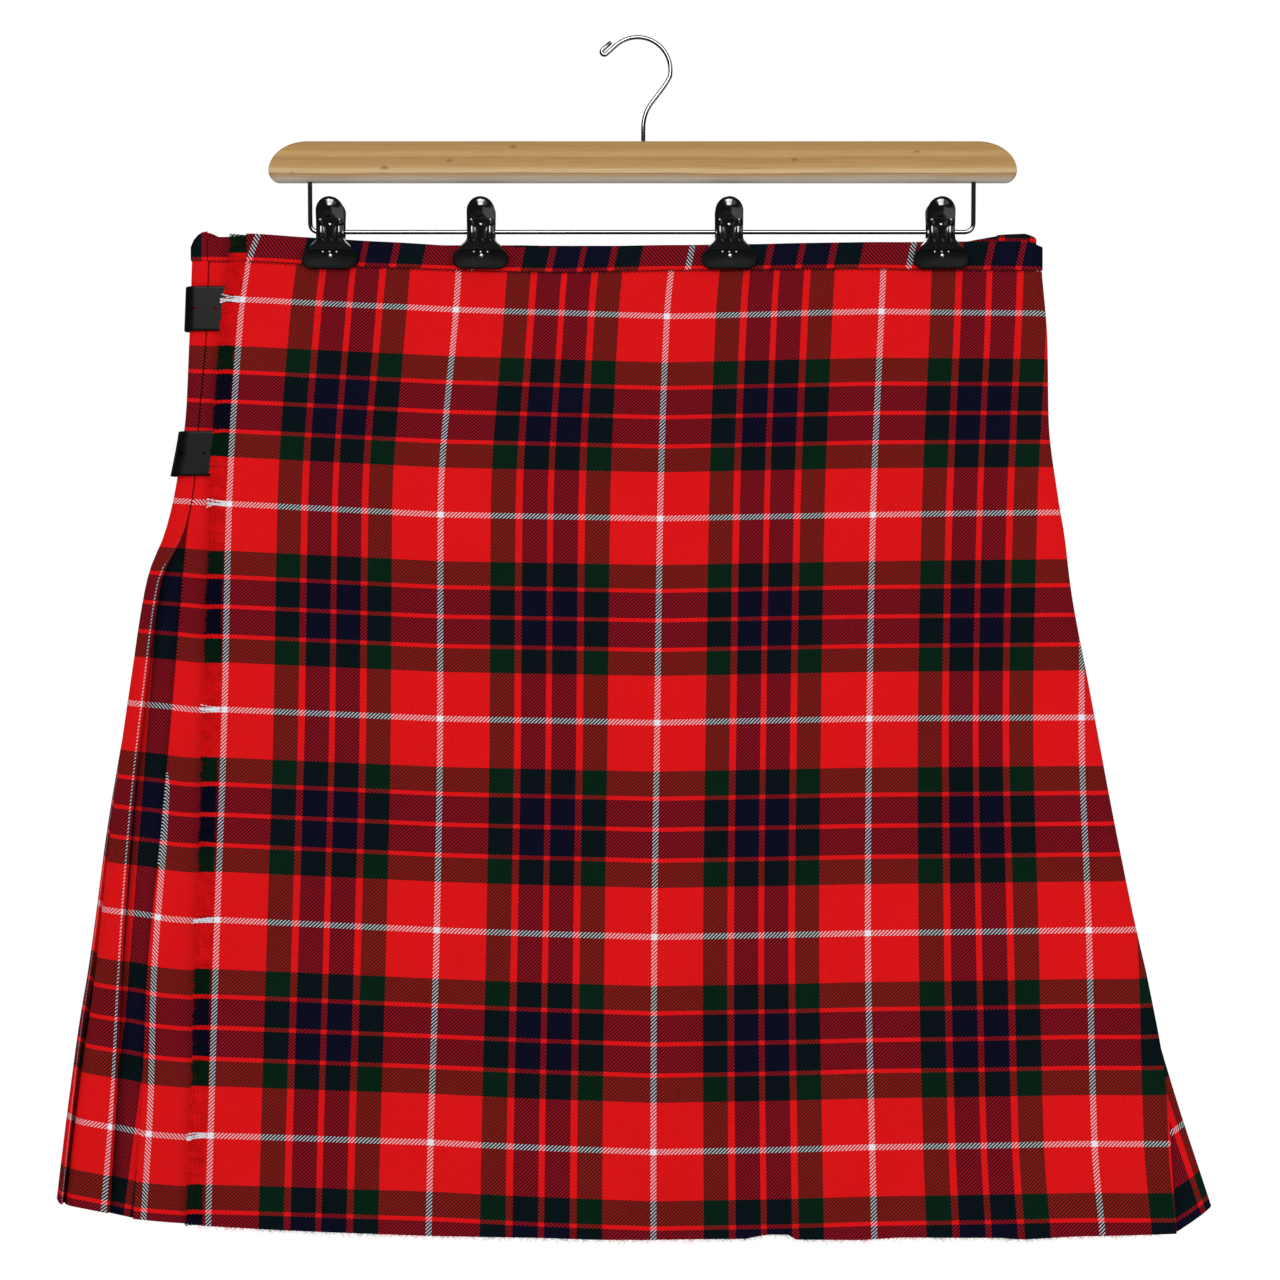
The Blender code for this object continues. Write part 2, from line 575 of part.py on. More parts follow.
def keeper(name, z, made_of, group):
    """A bridge over the strap, sewn to the pleats by a foot at each side."""
    low, high = 0.9 + KEEPER_THICK / 2, 6.7 + 0.3 + KEEPER_THICK / 2
    leg = STRAP_WIDE / 2 + 0.3 + KEEPER_THICK / 2
    bridge = np.array([[-leg - KEEPER_FOOT, low], [-leg, low], [-leg, high], [leg, high], [leg, low],
                       [leg + KEEPER_FOOT, low]])
    rings = []
    for side in (-1, 1):
        one = offset(bridge[None], KEEPER_THICK / 2)[0]
        two = offset(bridge[None], -KEEPER_THICK / 2)[0][::-1]
        place = KEEPER_PLACE + side * KEEPER_WIDE / 2
        rings.append(np.array([spot(place, level, z + dz) for dz, level in np.concatenate([one, two])]))
    return capped(name, rings, made_of, group)


def strap_set(name, z, mats, group, helpers):
    """One strap with its buckle, prong, tab and keeper."""
    leather, chrome = mats["leather"], mats["chrome"]
    strap = strip(f"strap_{name}", strap_path, z, STRAP_WIDE, STRAP_THICK, leather, group)
    tab = strip(f"tab_{name}", tab_path, z, TAB_WIDE, TAB_THICK, leather, group)
    tall = STRAP_WIDE / 2 + 0.6 + FRAME_WIRE
    corners = [(FRAME_FRONT, FRONT_LEVEL, z + tall), (FRAME_FRONT, FRONT_LEVEL, z - tall),
               (FRAME_HINGE, HINGE_LEVEL, z - tall), (FRAME_HINGE, HINGE_LEVEL, z + tall)]
    frame = filleted([spot(*corner) for corner in corners], 2.0, steps=2, closed=True)
    wire(f"buckle_{name}", frame, FRAME_WIRE, chrome, group, closed=True)
    prong = prong_points(z)
    wire(f"prong_{name}", prong, PRONG_WIRE, chrome, group)
    keeper(f"keeper_{name}", z, leather, group)

    for number, place in enumerate(STRAP_HOLES):
        low, high = spot(place, 0.0, z), spot(place, 4.0, z)
        cut(strap, pin(f"{name}_hole_{number}", low, high, HOLE, leather, helpers))
    far, near = prong[-2] + 0.1 * (prong[-1] - prong[-2]), prong[-1] + 0.2 * (prong[-2] - prong[-1])
    cut(strap, pin(f"{name}_prong_hole", far, near, PRONG_WIRE + 0.4, leather, helpers))
    slot = [[spot(place, level, z + dz) for level, dz in ((-1, -1.3), (-1, 1.3), (9, 1.3), (9, -1.3))]
            for place in (FRAME_HINGE - 5, FRAME_HINGE + 5)]
    cut(tab, capped(f"{name}_tab_slot", np.array(slot), leather, helpers))


# ---------------------------------------------------------------- hanger


def bar_outline():
    """(x, z) round the bar: level top, quarter-ellipse ends, small radius below."""
    end_low = BAR_BOTTOM + BAR_END_RADIUS
    found = []
    for sign, end in ((-1, BAR_LEFT), (1, BAR_RIGHT)):
        ellipse = [(end - sign * BAR_SHOULDER * (1 - math.sin(t)), end_low + (BAR_TOP - end_low) * math.cos(t))
                   for t in np.radians([0, 20, 38, 54, 68, 80, 90])]
        corner = [(end - sign * BAR_END_RADIUS * (1 - math.cos(t)), end_low - BAR_END_RADIUS * math.sin(t))
                  for t in np.radians([30, 60, 90])]
        found += (ellipse + corner)[::-sign]
    return np.array(found)


def hanger_bar(mats, group, helpers):
    outline = bar_outline()
    step = np.roll(outline, -1, axis=0) - outline
    step /= np.linalg.norm(step, axis=1)[:, None]
    normal = np.stack([-step[:, 1], step[:, 0]], axis=1)
    middle = outline.mean(axis=0)
    inward = normal + np.roll(normal, 1, axis=0)
    inward *= 2 / np.sum(inward ** 2, axis=1)[:, None]
    inward *= np.sign(np.sum(inward * (middle - outline), axis=1))[:, None]
    low = smooth((BAR_BOTTOM + 8 - outline[:, 1]) / 8)
    edge = (BAR_EDGE + (BAR_LOWER_EDGE - BAR_EDGE) * low)[:, None]
    rings = []
    for side, turns in ((-1, (0, 30, 60, 90)), (1, (90, 60, 30, 0))):
        for turn in np.radians(turns):
            xz = outline + inward * edge * (1 - math.sin(turn))
            y = side * (BAR_DEEP / 2 - edge[:, 0] * (1 - math.cos(turn)))
            rings.append(np.stack([xz[:, 0], y, xz[:, 1]], axis=1))
    bar = capped("hanger_bar", rings, mats["wood"], group)
    foot = hook_points()[0]
    cut(bar, pin("hook_socket", foot, foot + np.array([0, 0, 30]), HOOK_WIRE + 0.3, mats["wood"], helpers))
    for number, x in enumerate(LEG_X):
        top, low = leg_top(x), np.array([x, 0, ROD_Z])
        cut(bar, pin(f"leg_socket_{number}", top + 0.3 * (top - low) / np.linalg.norm(top - low), low,
                     ROD_WIRE + 0.3, mats["wood"], helpers))
    return bar


def hook_points():
    """From inside the bar up the stem, round the crook and back on itself at the tip. The first is the foot."""
    radius, centre = 20.2, np.array([0.0, HOOK_WIRE - 20.2])
    stem = [(3.5, BAR_TOP - SOCKET), (3.5, -50.0), (6.3, -41.8), (16.6, -28.6)]
    arc = [centre + radius * np.array([math.cos(t), math.sin(t)]) for t in np.radians(np.arange(-12, 134, 12))]
    end, along = arc[-1], np.array([-math.sin(math.radians(132)), math.cos(math.radians(132))])
    away = np.array([along[1], -along[0]])
    turn_from, bend = end + 7.6 * along, 1.75
    half_turn = np.radians(np.arange(0, 181, 30))
    hairpin = [turn_from + bend * (away * (1 - math.cos(t)) + along * math.sin(t)) for t in half_turn]
    tip = hairpin[-1] - 7.0 * along
    flat = filleted([*stem, arc[0]], 5.0, steps=3)[:-1] + arc + hairpin + [tip]
    return [np.array([x, 0.0, z]) for x, z in flat]


def leg_top(x):
    return np.array([x, -LEG_FORWARD, BAR_BOTTOM + 2.5 + SOCKET])


def hanger_rod(mats, group):
    """One wire: down a leg, along under the bar, up the other leg."""
    corners = [leg_top(LEG_X[0]), (LEG_X[0], 0, ROD_Z), (LEG_X[1], 0, ROD_Z), leg_top(LEG_X[1])]
    return wire("hanger_rod", filleted(corners, ROD_CORNER), ROD_WIRE, mats["chrome"], group)


# ---------------------------------------------------------------- clips

# A jaw's middle line from crown to foot: how far it stands from the rod, height and half width
JAW_LINE = ((12.6, -97.8, 3.4), (12.4, -99.6, 6.4), (11.7, -103.0, 8.2), (9.9, -108.4, 8.5),
            (6.9, -116.0, 8.5), (6.6, -123.4, 9.0), (6.8, -128.6, 12.4))
JAW_BOW = 2.4


def jaw_stand(z):
    """How far a jaw's middle line stands from the rod at height z."""
    table = np.array(JAW_LINE)[::-1]
    return np.interp(z, table[:, 1], table[:, 0])


def bowed(x, z):
    """Stand of the jaw's middle surface at x from its middle line: the sides curve in, less towards the foot."""
    return jaw_stand(z) - JAW_BOW * (np.asarray(x) / JAW_WIDE * 2) ** 2 * (1 - smooth((-z - 112.0) / 8))


def jaw(name, x, side, ear_x, mats, group, helpers):
    """A pressed plate with two ears round the rod. side is -1 in front, 1 behind."""
    table = np.array(JAW_LINE)
    across = np.linspace(-1, 1, 5)
    grid_x = table[:, 2:3] * across
    grid_z = table[:, 1:2] + 0 * across
    grid_y = np.array([bowed(grid_x[i], table[i, 1]) for i in range(len(table))])
    points = np.dstack([grid_x, grid_y, grid_z])
    normal = np.cross(np.gradient(points, axis=0), np.gradient(points, axis=1))
    normal /= np.linalg.norm(normal, axis=2, keepdims=True)
    faces_of = [points + normal * JAW_SHEET / 2, points - normal * JAW_SHEET / 2]
    index = np.arange(points[..., 0].size).reshape(points.shape[:2])
    far = index + index.size
    quads = []
    for grid in (index, far):
        corners = [grid[:-1, :-1], grid[:-1, 1:], grid[1:, 1:], grid[1:, :-1]]
        quads.append(np.stack(corners, axis=-1).reshape(-1, 4))
    for edge in (np.s_[0], np.s_[-1], np.s_[:, 0], np.s_[:, -1]):
        one, two = index[edge], far[edge]
        quads.append(np.stack([one[:-1], two[:-1], two[1:], one[1:]], axis=-1))
    place = np.array([1, side, 1])
    moved = np.concatenate(faces_of).reshape(-1, 3) * place + np.array([x, 0, 0])
    plate = mesh_object(name, moved * MM, np.concatenate(quads), mats["dark_chrome"], group)

    rings = []
    turns = np.radians(np.arange(0, 360, 45))
    outer = []
    for turn in turns:
        reach = np.array([math.cos(turn), math.sin(turn)]) * 3.4
        if math.cos(turn) > 0.2:
            z = ROD_Z + 3.7 * math.sin(turn) / math.sin(math.radians(45))
            reach = np.array([bowed(ear_x, z) - 0.05, z - ROD_Z])
        outer.append(reach)
    hole_radius = (ROD_WIRE + 0.3) / math.cos(math.radians(22.5))
    hole = [np.array([math.cos(turn), math.sin(turn)]) * hole_radius for turn in turns]
    for end in (-1, 1):
        points = []
        for edge, ring in ((-1, outer), (1, outer), (1, hole), (-1, hole)):
            x_face = x + end * ear_x + edge * JAW_SHEET / 2
            points.append(np.array([[x_face, side * y, ROD_Z + z] for y, z in ring]))
        rings.append(points)
    for end, points in zip(("left", "right"), rings):
        ear = mesh_object(f"{name}_ear_{end}", np.concatenate(points) * MM, joined(points, closed=True),
                          mats["dark_chrome"], helpers)
        cut(plate, ear, "UNION")


def pad(name, x, side, mats, group):
    """A stadium-shaped grip with a softened outer edge."""
    straight, radius = (PAD_WIDE - PAD_TALL) / 2, PAD_TALL / 2
    inner_y = GRIP_FACE[side]
    rings = []
    for depth, inset in ((0.0, 0.0), (PAD_DEEP - 0.8, 0.0), (PAD_DEEP, 0.8)):
        points = [(x + sign * straight + (radius - inset) * math.cos(t), side * (inner_y + depth),
                   ROD_Z - PAD_DROP + (radius - inset) * math.sin(t))
                  for sign, start in ((1, -90), (-1, 90)) for t in np.radians(start + np.arange(0, 181, 30))]
        rings.append(np.array(points))
    return capped(name, rings, mats["black_pad"], group)


def clip(number, x, mats, group, helpers):
    for label, side, ear_x in (("front", -1, 6.8), ("rear", 1, 5.6)):
        jaw(f"clip_{number}_{label}_jaw", x, side, ear_x, mats, group, helpers)
        pad(f"clip_{number}_{label}_pad", x, side, mats, group)
    half = SPRING_LONG / 2
    tube(f"clip_{number}_spring", (x - half, 0, ROD_Z), (x + half, 0, ROD_Z), SPRING_RADIUS, ROD_WIRE + 0.3, 10,
         mats["chrome"], group)


def build():
    clear_scene()
    group, helpers = collection("scottish_kilt"), collection("cutters")
    helpers.hide_render = True
    mats = {
        "tartan": material("tartan", (150, 20, 24), 0.9),
        "leather": material("leather", (30, 30, 33), 0.45),
        "chrome": material("chrome", (200, 200, 205), 0.18, 1.0),
        "dark_chrome": material("dark_chrome", (70, 72, 74), 0.2, 1.0),
        "black_pad": material("black_pad", (22, 22, 24), 0.5),
        "wood": material("wood", (205, 163, 104), 0.5),
    }
    panel("over_apron", over_apron_path, SEAM_LINE, mats["tartan"], group)
    panel("under_apron", under_apron_path, INNER_SEAM_LINE, mats["tartan"], group)
    panel("pleated_back", pleated_back_path, INNER_SEAM_LINE, mats["tartan"], group)
    waistbands(mats["tartan"], group)
    apron_fringe(mats["tartan"], group)
    for name, z in STRAPS:
        strap_set(name, z, mats, group, helpers)
    hanger_bar(mats, group, helpers)
    wire("hanger_hook", hook_points(), HOOK_WIRE, mats["chrome"], group)
    hanger_rod(mats, group)
    for number, x in enumerate(CLIP_X, start=1):
        clip(number, x, mats, group, helpers)


build()
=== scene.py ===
"""Look of a Scottish kilt held flat in a wooden clip hanger.

Every length in a table or a function is in millimetres, and becomes metres as it goes into a mesh. The cloth is set
out as its solids are: each horizontal section lies on a closed rail (flat front, half-round sides, flat back), a
place is a length along the rail from its leftmost point, and a level is a distance outside it. Its pattern is in its
UV map: u counts repeats of the tartan across the cloth, v counts them down it.
"""

import math

import bmesh
import bpy
import numpy as np
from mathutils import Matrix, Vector


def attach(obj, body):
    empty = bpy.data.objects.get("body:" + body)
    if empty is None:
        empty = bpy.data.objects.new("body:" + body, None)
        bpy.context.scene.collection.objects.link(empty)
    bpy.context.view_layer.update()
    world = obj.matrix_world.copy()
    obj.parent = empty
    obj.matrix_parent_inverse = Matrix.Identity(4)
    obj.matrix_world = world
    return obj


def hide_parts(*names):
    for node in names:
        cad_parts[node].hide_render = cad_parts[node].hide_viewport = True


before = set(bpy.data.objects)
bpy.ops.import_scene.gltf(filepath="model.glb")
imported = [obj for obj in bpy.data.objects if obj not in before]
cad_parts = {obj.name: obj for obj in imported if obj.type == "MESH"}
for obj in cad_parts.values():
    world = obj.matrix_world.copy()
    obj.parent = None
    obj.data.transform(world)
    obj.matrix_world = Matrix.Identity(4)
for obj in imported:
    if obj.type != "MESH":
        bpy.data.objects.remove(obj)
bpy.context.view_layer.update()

MM = 0.001
RNG = np.random.default_rng(11)

# ---------------------------------------------------------------- sizes of the cloth

CLOTH = 1.1  # wall of one layer
LAYER = 1.7  # from one layer to the next, centre to centre
SEAM = 0.3  # gap between pieces that are sewn together
PLEATS = 25
FELL_SAW = 1.6  # height of a sewn-down pleat's edge
FIRST_TUCK = 0.45  # share of its depth that each of the two pleats at the side hides
HIDDEN_FORWARD = 28.0  # layer of the last pleat that runs forward behind the apron's fold
UNDER_END = 44.0  # how far short of the right edge the under-apron stops
APRON_TURN = 20.0  # cloth turned under at the over-apron's right fold
APRON_LOOSE = 60.0  # width beside that fold over which the apron springs forward
GRIP_FRONT, GRIP_BACK = -0.1, 4.2  # y of the two sheets where a clip grips
EDGE_PAINTED_SHADE, EDGE_PAINTED_SHADE_WIDE = 0.74, 4.2  # how dark the painted shade makes the underlay beside the first pleat's edge, and how far from it
APRON_LIFT = 2 * LAYER  # over-apron's level
STRAP_LIFT = 0.9  # added to it beside the fringe, where the straps pass under
WAIST_TO_HEM = 589.3  # cloth below the waistband, on the middle line
SELVEDGE = 0.8  # woven cloth outside the fringe's root
CLIP_X = (-188.2, -95.9, 56.1, 185.8)
CLIP_FLAT, CLIP_FADE = 19.0, 46.0  # half width of the cloth that a clip holds flat, and where its hold ends

# Sizes at each drop below the waistband: x of the left and right edges, of the first pleat's edge, the inverted
# pleat's fold, the fringe's root and the apron's right fold, the radius and middle y of the sides, how far front and
# back bulge, a pleat's slope and the cloth that it hides, depth of the inverted pleat, and the fold's spring.
ROW_COLUMNS = (
    "drop", "left", "right", "pleat", "box", "fringe", "apron",
    "side", "centre", "front", "back", "saw", "tuck", "hide", "loose",
)
ROWS = (
    (0.0, -274.1, 244.5, -263.8, -262.2, -239.4, 247.9, 4.0, 2.0, 0.6, 1.0, 1.6, 0.0, 3.0, 0.0),
    (44.5, -275.6, 248.0, -265.3, -263.7, -245.6, 251.4, 4.6, 2.2, 1.6, 2.4, 1.6, 0.0, 3.5, 0.0),
    (93.3, -277.5, 248.8, -269.3, -267.7, -248.7, 252.2, 5.2, 2.4, 2.6, 3.6, 1.6, 0.0, 3.5, 0.0),
    (142.1, -285.4, 254.6, -273.0, -271.4, -251.4, 258.0, 6.0, 2.6, 3.4, 4.6, 3.4, 0.0, 4.0, 0.0),
    (166.5, -291.3, 258.6, -277.8, -275.2, -252.2, 262.0, 6.6, 2.7, 3.8, 5.2, 4.0, 4.0, 3.5, 0.0),
    (200.1, -303.4, 262.6, -292.8, -278.5, -253.1, 266.0, 7.4, 2.9, 4.4, 6.0, 5.0, 8.0, 4.5, 0.0),
    (261.1, -313.3, 273.7, -300.9, -283.2, -254.3, 277.1, 8.6, 3.2, 5.4, 7.0, 5.4, 12.0, 6.0, 0.0),
    (352.6, -326.4, 290.5, -310.4, -291.1, -257.0, 293.9, 10.2, 3.6, 6.6, 8.2, 5.8, 15.0, 10.0, 0.0),
    (444.1, -337.0, 309.3, -316.4, -299.5, -259.9, 311.4, 11.8, 4.2, 7.8, 9.2, 6.2, 17.0, 12.0, 0.5),
    (511.2, -347.5, 327.6, -319.0, -302.2, -261.6, 320.8, 12.9, 4.6, 8.4, 9.6, 6.4, 18.0, 13.0, 1.7),
    (589.3, -358.0, 352.3, -323.6, -307.7, -265.0, 327.3, 14.0, 5.0, 9.0, 10.0, 6.6, 19.0, 14.0, 1.7),
)

SEAM_LINE = ((-275, -136.1), (-249, -136.1), (-236, -136.9), (-145, -140.9), (-47, -143.7), (38, -141.8),
             (148, -141.2), (247, -142.4))
INNER_SEAM_LINE = ((-275, -136.1), (247, -142.4))
BAND_TOP_LINE = ((-250, -120.5), (-236, -119.9), (-145, -125.4), (-96, -128.1), (-47, -128.1), (32, -126.6),
                 (148, -125.0), (238, -124.1), (246, -127.2))
BACK_BAND_TOP_LINE = ((-275, -129.0), (-273.2, -126.4), (-271.6, -122.6), (-269, -119.6), (-265, -117.6),
                      (-261, -119.0), (-257, -121.0), (-240, -121.6), (-190, -126.0), (190, -126.0),
                      (222, -120.0), (238, -119.4), (245, -122.0))
HEM_LINE = ((-358, -708.3), (-353, -714.2), (-324, -718.6), (-308, -722.0), (-291, -723.6), (-264, -725.2),
            (-212, -727.9), (-127, -730.7), (-60, -731.5), (-23, -733.0), (4, -733.3), (50, -732.5), (65, -732.3),
            (78, -729.6), (93, -729.6), (96, -732.6), (136, -733.2), (160, -731.8), (221, -732.4), (233, -733.6),
            (270, -732.0), (282, -731.8), (329, -730.4), (350, -716.6))

# Each soft upright fold of the hanging cloth: height, width, place, and how it drifts downwards
FRONT_FOLDS = ((1.1, 37.0, 0.6, 1 / 900), (0.8, 21.5, 2.1, -1 / 500))
BACK_FOLDS = ((0.72, 41.0, 1.9, 0.0), (0.56, 19.0, -0.4, 1 / 700))

# ---------------------------------------------------------------- sizes of the straps and the hanger

FREE = 0.3  # gap between parts that touch
ON_CLOTH = 0.6 + FREE  # level of a face that lies on the cloth
STRAP_THICK, STRAP_WIDE, STRAP_UNDER, STRAP_TAIL = 2.0, 27.5, 14.0, 104.0
STRAPS = (("upper", -165.6), ("lower", -254.4))  # z of each one's middle line
STRAP_LEVEL = ON_CLOTH + STRAP_THICK / 2
STRAP_HOLES, HOLE = (-19.2, -6.1), 0.95  # their places along the strap, and their radius
FRAME_FRONT, FRAME_HINGE = 50.0, 68.0  # places of the buckle's bars
FRAME_WIRE, PRONG_WIRE = 1.2, 0.9  # wire radii
TAB_THICK, TAB_WIDE, TAB_LONG = 1.6, 25.0, 30.0
HINGE_LEVEL, FRONT_LEVEL = 4.2, 4.7
KEEPER_PLACE, KEEPER_WIDE, KEEPER_THICK, KEEPER_FOOT, KEEPER_INSIDE = 86.0, 7.0, 1.2, 5.0, 7.0

BAR_LEFT, BAR_RIGHT, BAR_TOP, BAR_BOTTOM = -226.0, 232.3, -63.3, -88.1
BAR_DEEP, BAR_SHOULDER, BAR_END_RADIUS = 13.0, 24.0, 6.5
BAR_EDGE, BAR_LOWER_EDGE, SOCKET = 1.2, 4.6, 12.0
HOOK_WIRE, HOOK_RADIUS, ROD_WIRE, ROD_Z, ROD_CORNER = 1.3, 20.2, 1.4, -118.3, 6.0
LEG_X, LEG_FORWARD = (-200.8, 206.0), 3.2
PAD_WIDE, PAD_TALL, PAD_DEEP, PAD_DROP = 34.0, 12.8, 3.6, 17.0
GRIP_FACE = {-1: 5.0, 1: 5.4}
JAW_SHEET, JAW_WIDE, CROWN_TOP, CROWN_Z, FOOT_Z = 0.9, 17.0, -97.8, -106.3, -128.6
JAW_LINE = ((12.6, -97.8), (12.4, -99.6), (11.7, -103.0), (9.9, -108.4), (6.9, -116.0), (6.6, -123.4),
            (6.2, -128.6))  # how far a jaw's middle line stands from the rod, and its height
SPRING_LONG = 9.4

FRINGE_THREADS, FRINGE_LONG, FRINGE_ABOVE = 900, 10.6, 15.6  # the last is how far they go on above the seam
FRINGE_CRIMP = 2.55  # length of one wave that the weave left in a thread
TUFT_HALF = 4.5  # threads at each side of a white line's middle that make its tuft
FUZZ_ENDS = 2600
STITCH_STEP, FELL_DEEP = 1.55, 158.0  # from stitch to stitch, and how far down the pleats are sewn

# In metres: the floor, and the camera, which looks square on with a frame as wide as CAMERA_WIDE at the cloth
FLOOR_Z, AMBIENT = -1.05, 0.65
CAMERA_X, CAMERA_Z, CAMERA_FAR, CAMERA_WIDE, CAMERA_FOCUS, SENSOR = 0.0015, -0.3686, 2.10, 0.781, 0.012, 36.0

# ---------------------------------------------------------------- the tartan's lattice

SETT_THREADS = (("white", 4), ("red", 56), ("green", 30), ("red", 8), ("navy", 30), ("red", 8),
                ("navy", 30), ("red", 8), ("green", 30), ("red", 56), ("white", 4))
WEFT_SLIM = 1.5  # threads that the weft's narrow red lines lose at each side
WHITE_HALF = 4.0  # threads of a white line at each side of its middle
# How strongly the slanted lines show, how much more where a line is white, how far a white line floats over the other
# threads, how dark the sunk threads are, and how much less by a white line
HATCH, WHITE_HATCH, WHITE_FLOAT, SUNK, WHITE_SUNK = 0.6, 0.85, 0.42, 0.54, 0.20
REPEAT = sum(count for _, count in SETT_THREADS)  # threads in one repeat
SETT = 131.0  # its width on the cloth
TWILL = 236.0  # threads in one repeat as the slanted lines of the weave count them
# The over-apron's white lines cross at these points: rows downwards, columns from the fringe to the right
CROSSING_X = ((-242.5, -111.3, 18.0, 149.1, 280.0), (-249.8, -120.5, 13.7, 143.7, 274.0),
              (-252.2, -120.5, 11.9, 141.2, 271.1), (-256.5, -122.3, 10.1, 140.0, 275.4),
              (-260.2, -126.0, 9.5, 142.4, 278.5))
CROSSING_Z = ((-160.1, -166.2, -170.5, -167.4, -169.0), (-285.2, -291.9, -294.3, -291.9, -290.1),
              (-410.8, -416.3, -418.8, -416.3, -415.7), (-538.9, -545.0, -549.3, -546.9, -545.6),
              (-670.1, -673.8, -679.9, -676.8, -675.6))
SEAM_X, HEM_X = (-238.4, -109.5, 21.0, 150.4, 281.0), (-261.6, -127.2, 9.5, 143.7, 283.3)
SEAM_DOWN, HEM_DOWN = 137.5, 731.0  # how far below the hook those two lie
ROW_ABOVE, ROW_BELOW = 125.5, 130.5  # height of a repeat above the first row and below the last
LEFT_ROWS = (23.8, 149.6, 275.9, 404.7, 536.6)  # drops of those rows on the pleats
FELL_STEP = 22.05  # the pattern moves on by this from pleat to pleat
# By drop: how far before a pleat's edge a white line's middle lies, how far past the inverted pleat's fold another
# lies, and x of the red line on its underlay, with the thread that this line is
PLEAT_EDGE = ((0, 160, 178, 190, 440, 520, 589), (5.0, 5.0, 3.0, 0.5, 0.2, -1.0, -2.4))
BOX_WHITE = ((0, 300, 322, 360, 420, 500, 589), (-8.0, -6.0, 0.6, 2.2, 3.4, 4.8, 6.1))
BOX_RED, RED_THREAD = ((0, 470, 515, 589.3), (-262.0, -296.5, -302.7, -312.3)), 170
BAND_WHITES, BACK_BAND_WHITES = (-235.2, -100.3, 32.0, 167.4), (-236.8, -105.8, 25.2, 156.2)
BAND_REPEAT, BAND_HIGH = 134.0, 0.46  # width of a repeat on the waistband, and height of a thread
BAND_THREAD = 129.8  # thread at the waistband's seam: a narrow red line, then navy up to the top


def smooth(t):
    """0 to 1 with level ends: t squared times (3 - 2t)."""
    t = np.clip(t, 0.0, 1.0)
    return t * t * (3 - 2 * t)


def line(table, x):
    """Height at x on the straight runs between a table's points."""
    places, heights = zip(*table)
    return np.interp(x, places, heights)


def through(knots, values, at):
    """A cubic through the knots that never swings past them: the slope at a knot is the harmonic mean of its
    neighbours' slopes, or level where they differ in sign."""
    knots, values = np.asarray(knots, float), np.asarray(values, float)
    gap = np.diff(knots)
    rise = np.diff(values) / gap
    same = rise[:-1] * rise[1:] > 0
    both = np.where(same, rise[:-1] + rise[1:], 1.0)
    slope = np.concatenate([rise[:1], np.where(same, 2 * rise[:-1] * rise[1:] / both, 0.0), rise[-1:]])
    i = np.clip(np.searchsorted(knots, at) - 1, 0, len(gap) - 1)
    t = np.clip((at - knots[i]) / gap[i], 0, 1)
    h00, h10 = 2 * t**3 - 3 * t**2 + 1, t**3 - 2 * t**2 + t
    return (h00 * values[i] + h10 * gap[i] * slope[i] + (1 - h00) * values[i + 1]
            + (t**3 - t**2) * gap[i] * slope[i + 1])


def rows_at(drops):
    """Sizes at an array of drops: each name gives a column, one row for each drop."""
    drops = np.atleast_1d(np.asarray(drops, float))
    knots = [row[0] for row in ROWS]
    columns = zip(ROW_COLUMNS, zip(*ROWS))
    return {name: through(knots, values, drops)[:, None] for name, values in columns}


def quarter(row):
    """A quarter of the way round one side's circle."""
    return row["side"] * math.pi / 2


def half_rail(row):
    """Length from the leftmost point round the back to the rightmost."""
    return 2 * quarter(row) + row["right"] - row["left"] - 2 * row["side"]


def front_place(row, x):
    """Place of the front's point at x."""
    return -(quarter(row) + x - row["left"] - row["side"])


def grip(row, x):
    """1 where a clip presses the cloth flat, 0 away from the clips and below the waist."""
    nearest = np.min(np.abs(np.asarray(x)[..., None] - np.array(CLIP_X)), axis=-1)
    return smooth((CLIP_FADE - nearest) / (CLIP_FADE - CLIP_FLAT)) * (1 - smooth(row["drop"] / 60.0))


def hang(x, drop, back):
    """Soft upright folds of the hanging cloth: sums of sines across x that grow towards the hem."""
    grow = smooth((drop - 60) / 420)
    ends = smooth((x + 262) / 60) * smooth((318 - x) / 60)
    front, behind = (sum(high * np.sin(x / wide + at + drop * drift) for high, wide, at, drift in folds)
                     for folds in (FRONT_FOLDS, BACK_FOLDS))
    return np.where(back, behind, front) * grow * ends


def section(row, places, levels):
    """(x, y) of points given by place and level: straight along the flats, which bulge as a parabola and are pressed
    in by the clips, and a half round at each side."""
    side, flat = row["side"], half_rail(row) - 2 * quarter(row)
    bend, back, whole = quarter(row), half_rail(row), 2 * half_rail(row)
    s = (places + bend) % whole - bend
    n = levels + 0 * s
    left, right = row["left"] + side, row["right"] - side
    on_left, on_back = s < bend, (s >= bend) & (s < bend + flat)
    on_right = (s >= bend + flat) & (s < back + bend)
    turn = np.where(on_left, math.pi - s / side, (back - s) / side)
    x_flat = np.where(on_back, left + s - bend, right - (s - back - bend))
    spread = 1 - ((x_flat - (left + right) / 2) / (flat / 2)) ** 2
    held = grip(row, x_flat)
    y_back = (row["centre"] + side + row["back"] * spread) * (1 - held) + GRIP_BACK * held
    y_front = (row["centre"] - side - row["front"] * spread) * (1 - held) + GRIP_FRONT * held
    rounded = on_left | on_right
    centre_x = np.where(on_left, left, right)
    x = np.where(rounded, centre_x + (side + n) * np.cos(turn), x_flat)
    straight = np.where(on_back, y_back + n, y_front - n) + hang(x_flat, row["drop"], on_back)
    y = np.where(rounded, row["centre"] + (side + n) * np.sin(turn), straight)
    return np.stack([x, y], axis=-1)


